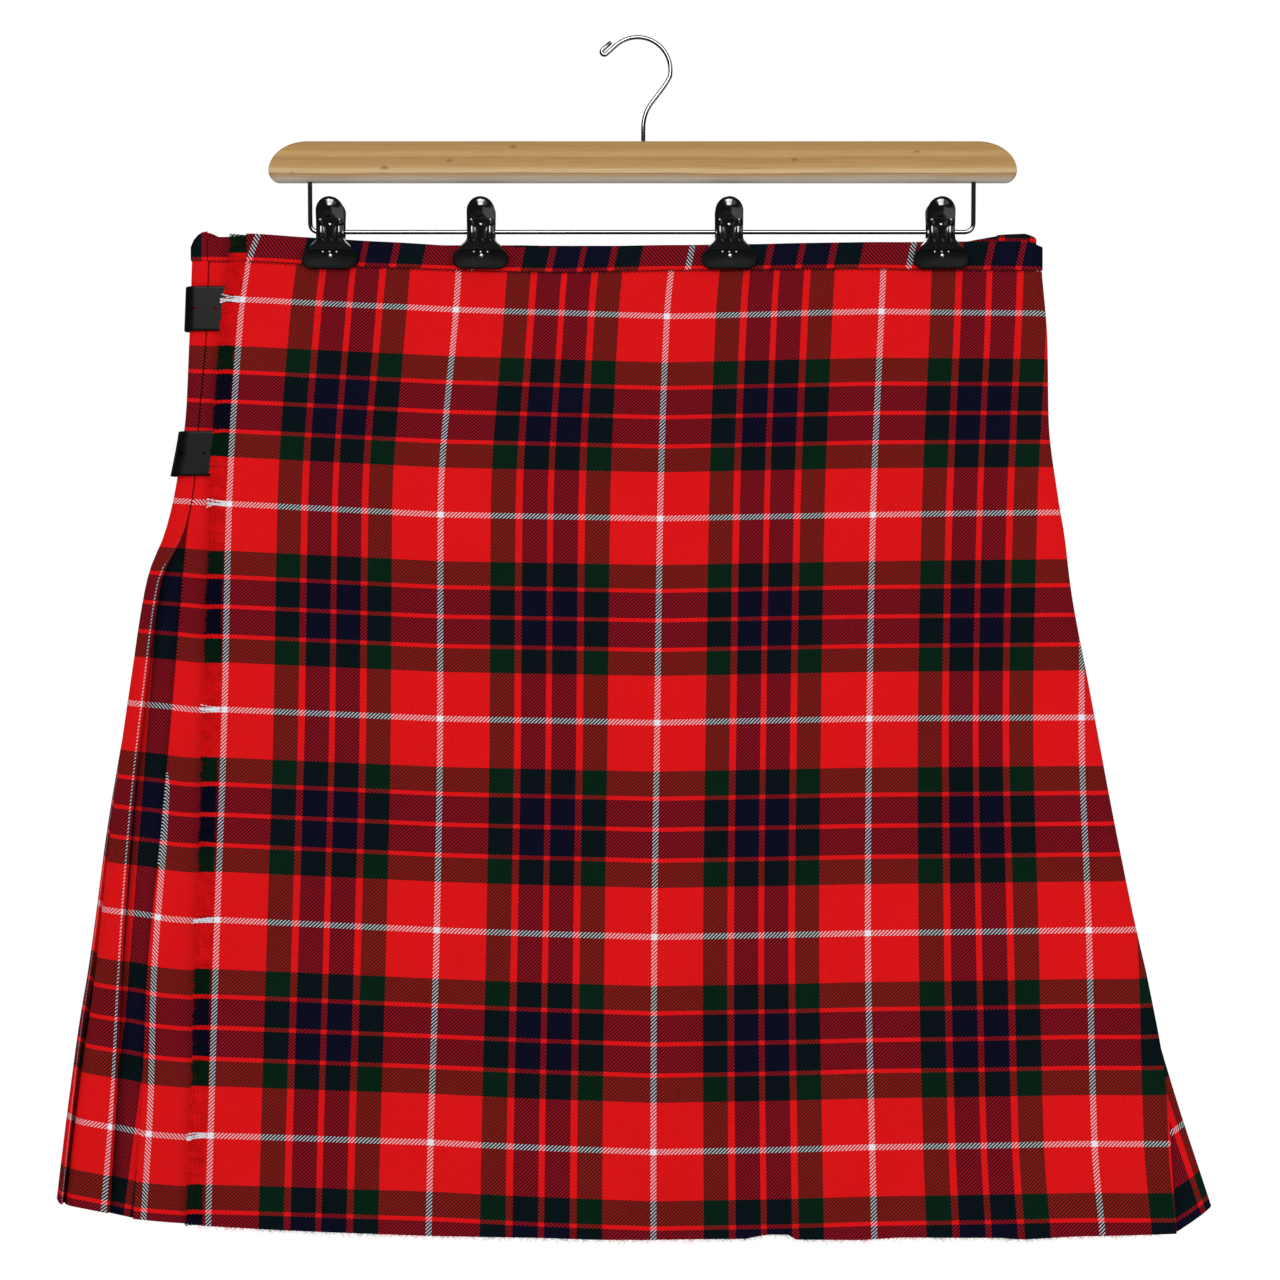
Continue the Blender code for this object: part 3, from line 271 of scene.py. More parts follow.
def heights(xy, row, seam=INNER_SEAM_LINE):
    """z of section points: each row passes at the same share of the way from the seam to the hem."""
    share = row["drop"] / WAIST_TO_HEM
    first, last = rows_at(0.0), rows_at(WAIST_TO_HEM)
    across = (xy[..., 0] - row["left"]) / (row["right"] - row["left"])
    at_seam, at_hem = (one["left"] + across * (one["right"] - one["left"]) for one in (first, last))
    return (line(seam, at_seam) - SEAM) * (1 - share) + line(HEM_LINE, at_hem) * share


def offset(points, distance):
    """Each section's points moved to the left of its direction of travel, mitred at corners."""
    step = np.diff(points, axis=1)
    step /= np.linalg.norm(step, axis=2, keepdims=True) + 1e-9
    normal = np.stack([-step[..., 1], step[..., 0]], axis=2)
    first = np.concatenate([normal[:, :1], normal], axis=1)
    last = np.concatenate([normal, normal[:, -1:]], axis=1)
    both = first + last
    return points + distance * both * 2 / np.maximum(np.sum(both * both, axis=2, keepdims=True), 0.9)


def beside(*parts):
    """Arrays put side by side, with as many rows each."""
    rows = max(len(part) for part in parts)
    return np.concatenate([np.broadcast_to(part, (rows, part.shape[1])) for part in parts], axis=1)


def along(xy):
    """Length along each section's points from its first."""
    return beside(np.zeros((1, 1)), np.cumsum(np.linalg.norm(np.diff(xy, axis=1), axis=2), axis=1))


# ---------------------------------------------------------------- meshes


def piece(name, points, faces, made_of, uv=None, sharp=50.0, dark=None):
    """A mesh object from points in millimetres, with its faces turned outwards, (u, v) for each point, and how far
    each point's colour is darkened by painted shade where a fold lies close over it."""
    mesh = bpy.data.meshes.new(name)
    mesh.from_pydata((np.asarray(points) * MM).tolist(), [], [list(map(int, face)) for face in faces])
    if uv is not None:
        index = np.empty(len(mesh.loops), np.int32)
        mesh.loops.foreach_get("vertex_index", index)
        layer = mesh.uv_layers.new(name="cloth")
        layer.data.foreach_set("uv", np.asarray(uv, np.float32)[index].ravel())
    # painted shade: a darkening for each point that the cloth's finish multiplies into its colour
    if dark is not None:
        mesh.attributes.new("shade", "FLOAT", "POINT").data.foreach_set("value", np.asarray(dark, np.float32))
    shell = bmesh.new()
    shell.from_mesh(mesh)
    bmesh.ops.recalc_face_normals(shell, faces=shell.faces)
    shell.to_mesh(mesh)
    shell.free()
    mesh.materials.append(made_of)
    mesh.shade_smooth()
    mesh.set_sharp_from_angle(angle=math.radians(sharp))
    made = bpy.data.objects.new(name, mesh)
    bpy.context.scene.collection.objects.link(made)
    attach(made, "root")
    return made


def grid_faces(index):
    """Quads over a grid of point numbers."""
    return np.stack([index[:-1, :-1], index[:-1, 1:], index[1:, 1:], index[1:, :-1]], axis=-1).reshape(-1, 4)


def tube_faces(rings, sides):
    """Quads between rings of points, and a face over the first ring and the last."""
    index = np.arange(rings * sides).reshape(rings, sides)
    faces = grid_faces(np.concatenate([index, index[:, :1]], axis=1)).tolist()
    return faces + [index[0].tolist(), index[-1].tolist()]


def closed(outer, inner, faces):
    """Points and faces of a wall: both sheets, and a face between them along each edge that only one face uses."""
    pairs = np.stack([faces, np.roll(faces, -1, axis=1)], axis=-1).reshape(-1, 2)
    _, first, count = np.unique(np.sort(pairs, axis=1), axis=0, return_index=True, return_counts=True)
    rim = pairs[first[count == 1]]
    walls = np.stack([rim[:, 1], rim[:, 0], rim[:, 0] + len(outer), rim[:, 1] + len(outer)], axis=1)
    return np.concatenate([outer, inner]), np.concatenate([faces, faces[:, ::-1] + len(outer), walls])


def cloth_wall(name, xy, z, made_of, uv, thickness=CLOTH, dark=None):
    """A closed wall of even thickness round a grid of section points."""
    outer = np.dstack([offset(xy, thickness / 2), z]).reshape(-1, 3)
    inner = np.dstack([offset(xy, -thickness / 2), z]).reshape(-1, 3)
    points, faces = closed(outer, inner, grid_faces(np.arange(z.size).reshape(z.shape)))
    flat_uv = uv.reshape(-1, 2)
    # painted shade: the same darkening on both sheets of the wall
    dark = None if dark is None else np.tile(dark.ravel(), 2)
    return piece(name, points, faces, made_of, np.concatenate([flat_uv, flat_uv]), dark=dark)


def strands(name, paths, radii, made_of, uv=None, sides=4, ref=(0.0, 1.0, 0.0), loop=False):
    """Tubes along paths [strand, point, xyz]: at each point a ring of corners at the radius, square to the path and
    set out from the direction ref. A loop's last point joins its first."""
    count, steps = paths.shape[:2]
    ahead = np.roll(paths, -1, axis=1) - np.roll(paths, 1, axis=1) if loop else np.gradient(paths, axis=1)
    ahead /= np.linalg.norm(ahead, axis=2, keepdims=True)
    across = np.cross(ahead, np.asarray(ref))
    across /= np.linalg.norm(across, axis=2, keepdims=True)
    other = np.cross(ahead, across)
    turn = np.linspace(0, 2 * math.pi, sides, endpoint=False)[:, None]
    rings = np.cos(turn) * across[:, :, None] + np.sin(turn) * other[:, :, None]
    points = paths[:, :, None] + rings * np.broadcast_to(radii, (count, steps))[..., None, None]
    index = np.arange(count * steps * sides).reshape(count, steps, sides)
    ring = np.concatenate([index, index[:, :, :1]], axis=2)
    if loop:
        ring = np.concatenate([ring, ring[:, :1]], axis=1)
    near, far = ring[:, :-1], ring[:, 1:]
    quads = np.stack([near[..., :-1], near[..., 1:], far[..., 1:], far[..., :-1]], axis=-1).reshape(-1, 4)
    faces = quads.tolist()
    if not loop:
        faces += index[:, 0, ::-1].tolist() + index[:, -1].tolist()
    if uv is not None:
        uv = np.repeat(uv.reshape(-1, 2), sides, axis=0)
    return piece(name, points.reshape(-1, 3), faces, made_of, uv)


def filleted(points, radius, steps=8, loop=False):
    """A polyline with each corner cut back by radius and rounded."""
    points = [np.array(p, float) for p in points]
    count, out = len(points), []
    for i, corner in enumerate(points):
        if not loop and i in (0, count - 1):
            out.append(corner)
            continue
        before, after = points[i - 1] - corner, points[(i + 1) % count] - corner
        first, last = (corner + leg * min(radius / np.linalg.norm(leg), 0.49) for leg in (before, after))
        for t in np.linspace(0, 1, steps + 1):
            out.append(first * (1 - t) ** 2 + corner * 2 * t * (1 - t) + last * t * t)
    return np.array(out)


def between(lines, at):
    """Where a value lies among increasing lines, one array for each: the number of the line before it, plus the
    share of the way to the next. It carries on evenly past the first and the last."""
    lines = np.stack(np.broadcast_arrays(*lines))
    i = np.clip(np.sum(lines <= at, axis=0) - 1, 0, len(lines) - 2)[None]
    low, high = np.take_along_axis(lines, i, 0)[0], np.take_along_axis(lines, i + 1, 0)[0]
    return i[0] + (at - low) / (high - low)


def apron_pattern(x, z):
    """(u, v) of the over-apron: the warp lines and the weft rows run through the table of crossings."""
    rows = [np.array(row) for row in CROSSING_Z]
    rows = [rows[0] + 2 * ROW_ABOVE, rows[0] + ROW_ABOVE, *rows, rows[-1] - ROW_BELOW]
    across = [np.array(row) for row in CROSSING_X]
    xs = [across[0], across[0], *across, across[-1]]
    v = between([-np.interp(x, xi, zi) for xi, zi in zip(xs, rows)], -z) - 1
    knots = [SEAM_DOWN, *-np.array(CROSSING_Z).mean(axis=1), HEM_DOWN]
    warps = [through(knots, column, -z) for column in np.array([SEAM_X, *CROSSING_X, HEM_X]).T]
    warps = [warps[0] - SETT, *warps, warps[-1] + SETT]
    return between(warps, x) - 1, v


def left_pattern(drop):
    """v of the pleats and the under-apron, which is the same all along a section."""
    knots = np.array([LEFT_ROWS[0] - ROW_ABOVE, *LEFT_ROWS, LEFT_ROWS[-1] + ROW_BELOW])
    return np.interp(drop, knots, np.arange(7.0))


# ---------------------------------------------------------------- the cloth's panels


def drops(steps):
    """Even steps down from the waistband to the hem."""
    return np.linspace(0, WAIST_TO_HEM, steps)


def lift(x):
    """Over-apron's level: clear of the layers under it, and of the straps near its fringed edge."""
    return APRON_LIFT + STRAP_LIFT * smooth((-205 - x) / 18)


def apron_fold(row):
    """Place of the over-apron's right fold: on the front's flat, or past its end at the angle round the side whose
    cosine puts it at the table's x."""
    past = row["apron"] - (row["right"] - row["side"])
    angle = np.arccos(np.clip(past / (row["side"] + APRON_LIFT), 0, 0.93))
    return np.where(past <= 0, front_place(row, row["apron"]), angle * row["side"] - half_rail(row))


def apron_places(row, edge=SELVEDGE):
    """Places and levels of the over-apron's face, from the fringed edge to the right fold."""
    start, fold = front_place(row, row["fringe"] - edge), apron_fold(row)
    near = fold + 1.1 * quarter(row)
    places = beside(start + (near - start) * np.linspace(0, 1, 111)[None],
                    near + (fold - near) * np.linspace(0, 1, 9)[None, 1:])
    x = section(row, places, 0 * places)[..., 0]
    crease = 0.45 * np.exp(-((x + 194.5 + 1.5 * np.sin(row["drop"] / 90)) / 2.0) ** 2) * smooth(row["drop"] / 40)
    return places, lift(x) + crease + row["loose"] * smooth(1 - (places - fold) / APRON_LOOSE)


def over_apron(made_of):
    """The face, a half-round fold at its right edge and the cloth turned under behind it. The pattern follows the
    table of crossings on the face, and the length along the cloth past the fold."""
    row = rows_at(drops(120))
    places, levels = apron_places(row)
    fold, radius = places[:, -1:], LAYER / 2
    turn = np.linspace(0, math.pi, 8)[None, 1:]
    under = fold + quarter(row) * np.linspace(0.06, 1.1, 7)[None]
    under = beside(under, fold + quarter(row) + APRON_TURN)
    below = APRON_LIFT - LAYER + row["loose"] * smooth(1 - (under - fold) / APRON_LOOSE)
    round_places = fold - radius * np.sin(turn)
    round_levels = levels[:, -1:] - radius * (1 - np.cos(turn))
    face = places.shape[1]
    xy = section(row, beside(places, round_places, under), beside(levels, round_levels, below))
    z = heights(xy, row, SEAM_LINE)
    length = along(xy)
    u, v = apron_pattern(xy[..., 0], z)
    u[:, face:] = u[:, face - 1:face] + (length[:, face:] - length[:, face - 1:face]) / SETT
    return cloth_wall("over_apron_cloth", xy, z, made_of, np.dstack([u, v]))


def pleat_pitch(row):
    """From one pleat's edge to the next: the back and left side shared evenly."""
    return (half_rail(row) - front_place(row, row["pleat"])) / PLEATS


def pleated_back(made_of):
    """Each pleat is a face that slopes in under the next, a rounded fold, a hidden layer back to the next edge, and a
    rounded fold out on to the next face. In the sewn part above, the hidden layers shrink to a step."""
    row = rows_at(drops(72))
    start, pitch, bend, back = front_place(row, row["pleat"]), pleat_pitch(row), quarter(row), half_rail(row)
    saw, tuck = row["saw"], row["tuck"]
    edge_pattern = np.interp(row["drop"], *PLEAT_EDGE)
    turn = np.minimum(LAYER, saw / 2 - 0.07)  # spacing of the two corners of a fold
    low, high = turn - saw, -turn
    opened = smooth(tuck / 8)
    radius, steps = turn / 2 * opened, 5
    arc, middle = np.linspace(0, math.pi, steps)[None], np.linspace(0, 1, 4)[None, 1:-1]
    # the first pleat's hidden layer, which the under-apron carries on
    t = np.linspace(0.25, 0, 3)[None]
    places, levels = [start + (pitch + FIRST_TUCK * tuck) * t], [-LAYER - saw * t]
    pattern = [edge_pattern / SETT - 0.2 - 0.02 * t]
    for pleat in range(PLEATS - 1):
        edge, deep = start + pleat * pitch, tuck * (FIRST_TUCK if pleat < 2 else 1.0)
        end, next_edge = edge + pitch + deep, edge + pitch
        u_edge, u_next = ((edge_pattern + number * FELL_STEP) / SETT for number in (pleat, pleat + 1))
        u_end = u_edge + (end - edge) / SETT
        t = beside(radius / (end - edge), np.linspace(0, 1, 9)[None, 1:-1], 1 - radius / (end - edge))
        places.append(edge + (end - edge) * t)
        levels.append(-saw * t)
        pattern.append(u_edge + (end - edge) * t / SETT)
        # the fold at the hidden end, the layer back, and the fold at the next edge
        folded = beside(-saw + turn * (1 - np.cos(arc)) / 2, low + (high - low) * middle,
                        -turn * (1 + np.cos(arc)) / 2)[:, 1:-1]
        sewn = low + (high - low) * np.arange(1, 2 * steps + 1)[None] / (2 * steps + 3)
        levels.append(folded * opened + sewn * (1 - opened))
        inner, outer = end - radius, next_edge + radius
        places.append(beside(inner + radius * np.sin(arc), inner + (outer - inner) * middle,
                             outer - radius * np.sin(arc))[:, 1:-1])
        pattern.append(u_end + (u_next + 1.0 - u_end) * np.linspace(0, 1, 2 * steps + 2)[None, 1:-1])
    # the last pleat goes round the side and forward
    edge, turns = back - pitch, np.array([[-1, -0.67, -0.33, 0, 0.33, 0.67, 1]])
    wrap = beside(edge + (back - bend - edge) * np.array([[0, 0.35, 0.7]]), back + bend * turns,
                  back + bend + HIDDEN_FORWARD * np.array([[0.3, 0.6, 1.0]]))
    places.append(wrap)
    levels.append(0 * wrap)
    pattern.append((edge_pattern + (PLEATS - 1) * FELL_STEP + wrap - edge) / SETT)
    xy = section(row, beside(*places), beside(*levels))
    z = heights(xy, row)
    u = beside(*pattern)
    v = left_pattern(row["drop"]) + 0 * u
    return cloth_wall("pleated_back_cloth", xy, z, made_of, np.dstack([u, v]))


def under_apron(made_of):
    """Face behind the over-apron, the inverted pleat's folds (two half rounds with a layer between), and its underlay
    behind the first pleat. The pattern runs from a white line beside the fold on the face, and from a red line on the
    underlay. Painted shade darkens the underlay, falling off as a bell from the first pleat's edge."""
    row = rows_at(drops(90))
    end = row["right"] - UNDER_END
    fold, pleat = front_place(row, row["box"]), front_place(row, row["pleat"])
    inner = fold - 2 * row["hide"]
    radius = LAYER / 2
    t = np.linspace(1, 0, 60)[None]
    face = front_place(row, row["box"] + radius + (end - row["box"] - radius) * t)
    arc = np.linspace(0, math.pi, 7)[None, 1:]
    first_end = pleat_pitch(row) + FIRST_TUCK * row["tuck"]
    behind = pleat + first_end * np.linspace(0, 2 / 7, 4)[None]
    across = np.linspace(0, 1, 6)[None, 1:]
    folded = [
        (fold - radius + radius * np.sin(arc), -radius * (1 - np.cos(arc))),
        (fold + (inner - fold) * across, -LAYER + 0 * across),
        (inner - 0.5 * radius * np.sin(arc), -LAYER - radius * (1 - np.cos(arc))),
        (inner + (pleat - inner) * np.linspace(0, 1, 12)[None, 1:-1], np.full((1, 10), -2 * LAYER)),
        (behind, -2 * LAYER - row["saw"] * np.linspace(0, 2 / 7, 4)[None]),
    ]
    places, levels = (beside(*column) for column in zip((face, 0 * face), *folded))
    xy = section(row, places, levels)
    z = heights(xy, row)
    drop = row["drop"]
    u = (xy[..., 0] - row["box"] - np.interp(drop, *BOX_WHITE)) / SETT
    folds = 18  # points of the two folds and the layers between, from the face to the underlay
    first = face.shape[1] + folds
    u[:, first:] = RED_THREAD / REPEAT - 1 + (xy[:, first:, 0] - np.interp(drop, *BOX_RED)) / SETT
    hidden = np.clip((np.arange(1, folds + 1)[None] - 7) / 12, 0, 1)
    u[:, face.shape[1]:first] = u[:, face.shape[1] - 1:face.shape[1]] * (1 - hidden) + u[:, first:first + 1] * hidden
    v = left_pattern(drop) + 0 * u
    # painted shade: the underlay's colour darkens beside the first pleat's edge, where the fold would shade it
    past = np.maximum(xy[..., 0] - row["pleat"], 0)
    dark = EDGE_PAINTED_SHADE * np.exp(-(past / EDGE_PAINTED_SHADE_WIDE) ** 2) * smooth((drop - 168) / 30)
    dark[:, :first] = 0
    return cloth_wall("under_apron_cloth", xy, z, made_of, np.dstack([u, v]), dark=dark)


# ---------------------------------------------------------------- waistband


def band(name, xy, top_line, seam, made_of, whites, lean):
    """A strip folded over at the top: rows from the rounded top down to the seam, as thick as the fold makes them.
    whites are x of the white lines, and lean how far they move over to the right for each length upwards."""
    top, low = line(top_line, xy[..., 0]), line(seam, xy[..., 0])
    shares = np.array([0, 0.25, 0.8, 1.8, 4.0, 7.0, 10.0, 12.5])[:, None]
    z = np.concatenate([top - shares, low + 0.6, low], axis=0)
    z[:8] = np.maximum(z[:8], low + 1.2 + 0.2 * np.arange(8)[::-1, None])
    thickness = np.array([0.7, 1.5, 2.1, 2.4, 2.4, 2.4, 2.4, 2.4, 2.2, 1.7])[:, None, None]
    along_band = xy[..., 0] - lean(xy[..., 0]) * (z - low - 8)
    ends = [whites[0] - BAND_REPEAT, *whites, whites[-1] + BAND_REPEAT]
    u = np.interp(along_band, ends, np.arange(len(ends)))
    v = (BAND_THREAD + (z - low) / BAND_HIGH) / REPEAT
    points = np.repeat(xy, len(z), axis=0)
    return cloth_wall(name, points, z, made_of, np.dstack([u, v]), thickness)


def waistbands(made_of, back_made_of):
    """The waistband's runs: over the over-apron, round the back, and on the under-apron, each at its panel's level."""
    row = rows_at(0.0)
    places, levels = apron_places(row, 0.0)
    front = band("waistband_over_cloth", section(row, places, levels), BAND_TOP_LINE, SEAM_LINE, made_of,
                 BAND_WHITES, lambda x: 0.21 + 0.14 * smooth((-190 - x) / 40))
    start, bend, back = front_place(row, row["pleat"]), quarter(row), half_rail(row)
    wide = back + bend + 20 - start
    places = start + wide * np.linspace(0, 1, 200)[None]
    xy = section(row, places, -FELL_SAW / 2)
    rear = band("waistband_back_cloth", xy, BACK_BAND_TOP_LINE, INNER_SEAM_LINE, back_made_of,
                BACK_BAND_WHITES, lambda x: 0 * x)
    fold, end = row["pleat"] + 0.4, row["right"] - UNDER_END
    places = front_place(row, fold + (end - fold) * np.linspace(0, 1, 120)[None])
    lower_top = [(x, z - 1.0) for x, z in BAND_TOP_LINE]
    inner = band("waistband_under_cloth", section(row, places, 0 * places), lower_top, INNER_SEAM_LINE, made_of,
                 BACK_BAND_WHITES, lambda x: 0 * x)
    return front, rear, inner


# ---------------------------------------------------------------- places on the cloth


def spots(places, levels, z, seam=INNER_SEAM_LINE):
    """Points on the cloth at heights z, from their places and levels."""
    places, levels, z = (np.asarray(one, float).ravel() for one in np.broadcast_arrays(places, levels, z))
    row = rows_at(drops(80))
    xy = section(row, places[None], levels[None])
    number = between(-heights(xy, row, seam), -z)
    i = np.clip(number.astype(int), 0, len(xy) - 2)
    share, each = (number - i)[:, None], np.arange(len(z))
    return np.column_stack([xy[i, each] * (1 - share) + xy[i + 1, each] * share, z])


def waver(count, spacing, rng):
    """A smooth random line, about -1 to 1, whose bumps are some spacing steps apart."""
    knots = rng.uniform(-1, 1, int(count / spacing) + 3)
    at = np.arange(count) / spacing
    i, t = at.astype(int), smooth(at - at.astype(int))
    return knots[i] * (1 - t) + knots[i + 1] * t


# ---------------------------------------------------------------- threads


def fringe(made_of):
    """The weft's threads beyond the apron's edge, one every two thirds of a millimetre. Each keeps the waves it had
    in the weave, in step with its neighbours, sinks a little and strays more towards its tip. The white threads
    lie in a loose tuft over the others."""
    count, steps = FRINGE_THREADS, 15
    drop = np.linspace(-FRINGE_ABOVE, WAIST_TO_HEM - 0.6, count)
    row = rows_at(np.maximum(drop, 0))
    above = np.maximum(-drop, 0)[:, None]
    t = np.linspace(0, 1, steps)[None]
    edge = row["fringe"] - SELVEDGE + 0.8 + np.where(above > 0, 0.2, 0)
    root = section(row, front_place(row, edge), lift(edge))
    root_z = heights(root, row, SEAM_LINE) + above
    v = apron_pattern(root[..., 0], root_z)[1]
    nearest = np.abs((v + 0.5) % 1 - 0.5) * REPEAT
    white = nearest < TUFT_HALF
    each = RNG.normal(0, 1, (count, 4))
    long = FRINGE_LONG * (1 + 0.05 * waver(count, 9, RNG)[:, None] + 0.03 * each[:, :1]) + 1.4 * white
    reach = long * t
    phase = reach / FRINGE_CRIMP * 2 * math.pi + 1.2 * waver(count, 16, RNG)[:, None] + 0.5 * each[:, 1:2]
    loose = smooth((t - 0.25) / 0.6)
    stray = 0.8 * waver(count, 12, RNG)[:, None] + 0.35 * waver(count, 4, RNG)[:, None] + 0.12 * each[:, 2:3]
    tuft = np.where(white, 0.75 * each[:, 3:4] - 0.9 + 1.3 * np.sin(7 * v), 0)
    ragged = np.where(above > 0, 0.9 * waver(count, 3, RNG)[:, None], 0)
    dz = 0.26 * np.sin(phase) * (0.5 + loose) + (stray * 0.7 + tuft * 1.6 - 0.5) * t**2 + ragged * t
    places = front_place(row, edge) + reach - 0.3 * np.abs(stray) * t**2
    rest = STRAP_LIFT + 0.45 - 0.9 * t
    level = APRON_LIFT + rest + 0.42 * np.cos(phase) * (0.6 + 0.4 * loose) + np.where(white, 0.55, 0) * smooth(t * 5)
    xy = section(row, places, level + 1.1 * np.minimum(above, 1))
    paths = np.dstack([xy, heights(xy, row, SEAM_LINE) + above + dz])
    radius = 0.36 * (1 - 0.35 * smooth((t - 0.9) / 0.1)) * (1 + 0.08 * each[:, :1])
    return strands("apron_fringe_threads", paths, radius, made_of, np.dstack([t + 0 * v, v + 0 * t]))


def fuzz(made_of):
    """Fine wool ends below the apron's hem."""
    row = rows_at([WAIST_TO_HEM])
    count, steps = FUZZ_ENDS, 4
    x = RNG.uniform(-268, 318, (1, count))
    xy = section(row, front_place(row, x), lift(x) + RNG.uniform(-0.5, 0.5, (1, count)))
    z = heights(xy, row, SEAM_LINE) + 0.4
    start = np.dstack([xy, z])[0][:, None]
    t = np.linspace(0, 1, steps)[None, :, None]
    way = RNG.normal(0, 1, (count, 1, 3)) * np.array([0.9, 0.45, 0.35]) + np.array([0, -0.15, -1.0])
    bend = RNG.normal(0, 1, (count, 1, 3)) * np.array([1.0, 0.3, 0.3])
    long = RNG.uniform(0.6, 2.2, (count, 1, 1))
    paths = start + (way * t + bend * t * t * 0.6) * long
    u, v = apron_pattern(start[..., 0], start[..., 2])
    radius = 0.075 * (1 - 0.5 * t[..., 0])
    return strands("hem_fuzz", paths, radius, made_of, np.dstack([u + 0 * t[..., 0], v + 0 * t[..., 0]]), sides=3)


def stitches(name, start, end, sag, radius, made_of):
    """Short stitches from start to end points [stitch, xyz], each bulging out by sag in the middle."""
    t = np.array([0, 0.2, 0.5, 0.8, 1.0])[None, :, None]
    paths = start[:, None] * (1 - t) + end[:, None] * t + 4 * t * (1 - t) * sag
    return strands(name, paths, radius, made_of, ref=(0.3, 1.0, 0.1))


def waistband_stitches(made_of):
    """Hand stitches that catch the waistband's lower edge to the aprons and the pleats. Their very dark thread also
    paints the shadow line under that edge.
    """
    row = rows_at(0.0)
    x = np.arange(-237.5, 243, STITCH_STEP)[None]
    xy = section(row, front_place(row, x), lift(x) + 0.75)[0]
    z = line(SEAM_LINE, xy[:, 0])
    jag = np.where(np.arange(len(z)) % 2, 0.25, -0.25)
    start = np.column_stack([xy, z - 1.15 + jag])
    end = np.column_stack([xy[:, 0] + 0.55, xy[:, 1] - 0.25, z + 0.35 + jag])
    side_x = np.arange(-262, -251, STITCH_STEP)[None]
    side = section(row, front_place(row, side_x), 0.35 + 0 * side_x)[0]
    side_z = line(INNER_SEAM_LINE, side[:, 0])
    low = np.column_stack([side, side_z - 1.2])
    high = np.column_stack([side[:, 0] + 0.5, side[:, 1] - 0.5, side_z + 0.5])
    return stitches("waistband_stitches", np.concatenate([start, low]), np.concatenate([end, high]),
                    np.array([0.0, -0.35, 0.0]), 0.24, made_of)


def fell_stitches(made_of):
    """Small stitches down each pleat's sewn edge, from the waistband to the end of the fell."""
    depth = np.arange(3.0, FELL_DEEP, 2 * STITCH_STEP)
    pleat, depth = (one.ravel() for one in np.meshgrid(np.arange(1, PLEATS), depth))
    row = rows_at(depth)
    edge = front_place(row, row["pleat"]) + pleat[:, None] * pleat_pitch(row)
    ends = []
    for shift, level, dz in ((-0.7, 0.62, 0.55), (0.55, 0.05, -0.55)):
        xy = section(row, edge + shift, level - (row["saw"] if shift < 0 else 0) * 0.85)
        ends.append(np.dstack([xy, heights(xy, row) + dz])[:, 0])
    out = np.where(ends[0][:, 1:2] > row["centre"], 0.25, -0.25)
    return stitches("fell_stitches", ends[0], ends[1], out[:, :, None] * np.array([0.0, 1.0, 0.0]), 0.2, made_of)


# ---------------------------------------------------------------- straps and buckles


def strip(name, path, wide, thickness, place_at, made_of, holes=(), steps=110):
    """A flat strip with rounded edges: path is its middle line in (length, level), place_at turns length, level and
    distance across into a point. Round holes are let into it: near each, the square rings of the grid are drawn
    into circles."""
    path = filleted(np.column_stack([path, 0 * path[:, :1]]), 2.0, steps=4)[:, :2]
    reach = along(path[None])[0]
    keep = np.concatenate([[True], np.diff(reach) > 1e-6])
    path, reach = path[keep], reach[keep]
    centres = np.interp(holes, path[:, 0], reach) if len(holes) else np.zeros(0)
    near = np.array([-2.6, -2, -1.5, -1, -0.5, 0, 0.5, 1, 1.5, 2, 2.6]) * HOLE
    stations = np.unique(np.round(np.concatenate([np.linspace(0, reach[-1], steps), *(c + near for c in centres)]), 3))
    edge = np.array([0, 0.12, 0.35, 0.8, 1.6])
    across = np.unique(np.round(np.concatenate([edge - wide / 2, wide / 2 - edge, np.linspace(-0.4, 0.4, 9) * wide,
                                                near if len(centres) else [0.0]]), 3))
    s, w = np.meshgrid(stations, across, indexing="ij")
    open_face = np.zeros((len(stations) - 1, len(across) - 1), bool)
    for centre in centres:
        ds, dw = (s - centre) / HOLE, w / HOLE
        square, length = np.maximum(np.abs(ds), np.abs(dw)), np.hypot(ds, dw)
        draw = 1 + (square / np.maximum(length, 1e-6) - 1) * smooth((2.6 - square) / 1.4)
        middle = (square[:-1, :-1] + square[1:, 1:] + square[1:, :-1] + square[:-1, 1:]) / 4
        open_face |= middle < 1
        s, w = np.where(square > 0, centre + ds * draw * HOLE, s), np.where(square > 0, dw * draw * HOLE, w)
    slope = np.gradient(path, reach, axis=0)
    slope /= np.linalg.norm(slope, axis=1, keepdims=True)
    at = [np.interp(s, reach, one) for one in (*path.T, *slope.T)]
    rim = np.clip((wide / 2 - np.abs(w)) / 0.9, 0, 1)
    half = thickness / 2 * (0.45 + 0.55 * np.sqrt(1 - (1 - rim) ** 2))
    sides = [place_at(at[0] - side * half * at[3], at[1] + side * half * at[2], w) for side in (1, -1)]
    faces = grid_faces(np.arange(s.size).reshape(s.shape))[~open_face.ravel()]
    points, faces = closed(*sides, faces)
    uv = np.column_stack([s.ravel(), w.ravel()])
    return piece(name, points, faces, made_of, np.concatenate([uv, uv]) * 0.01)


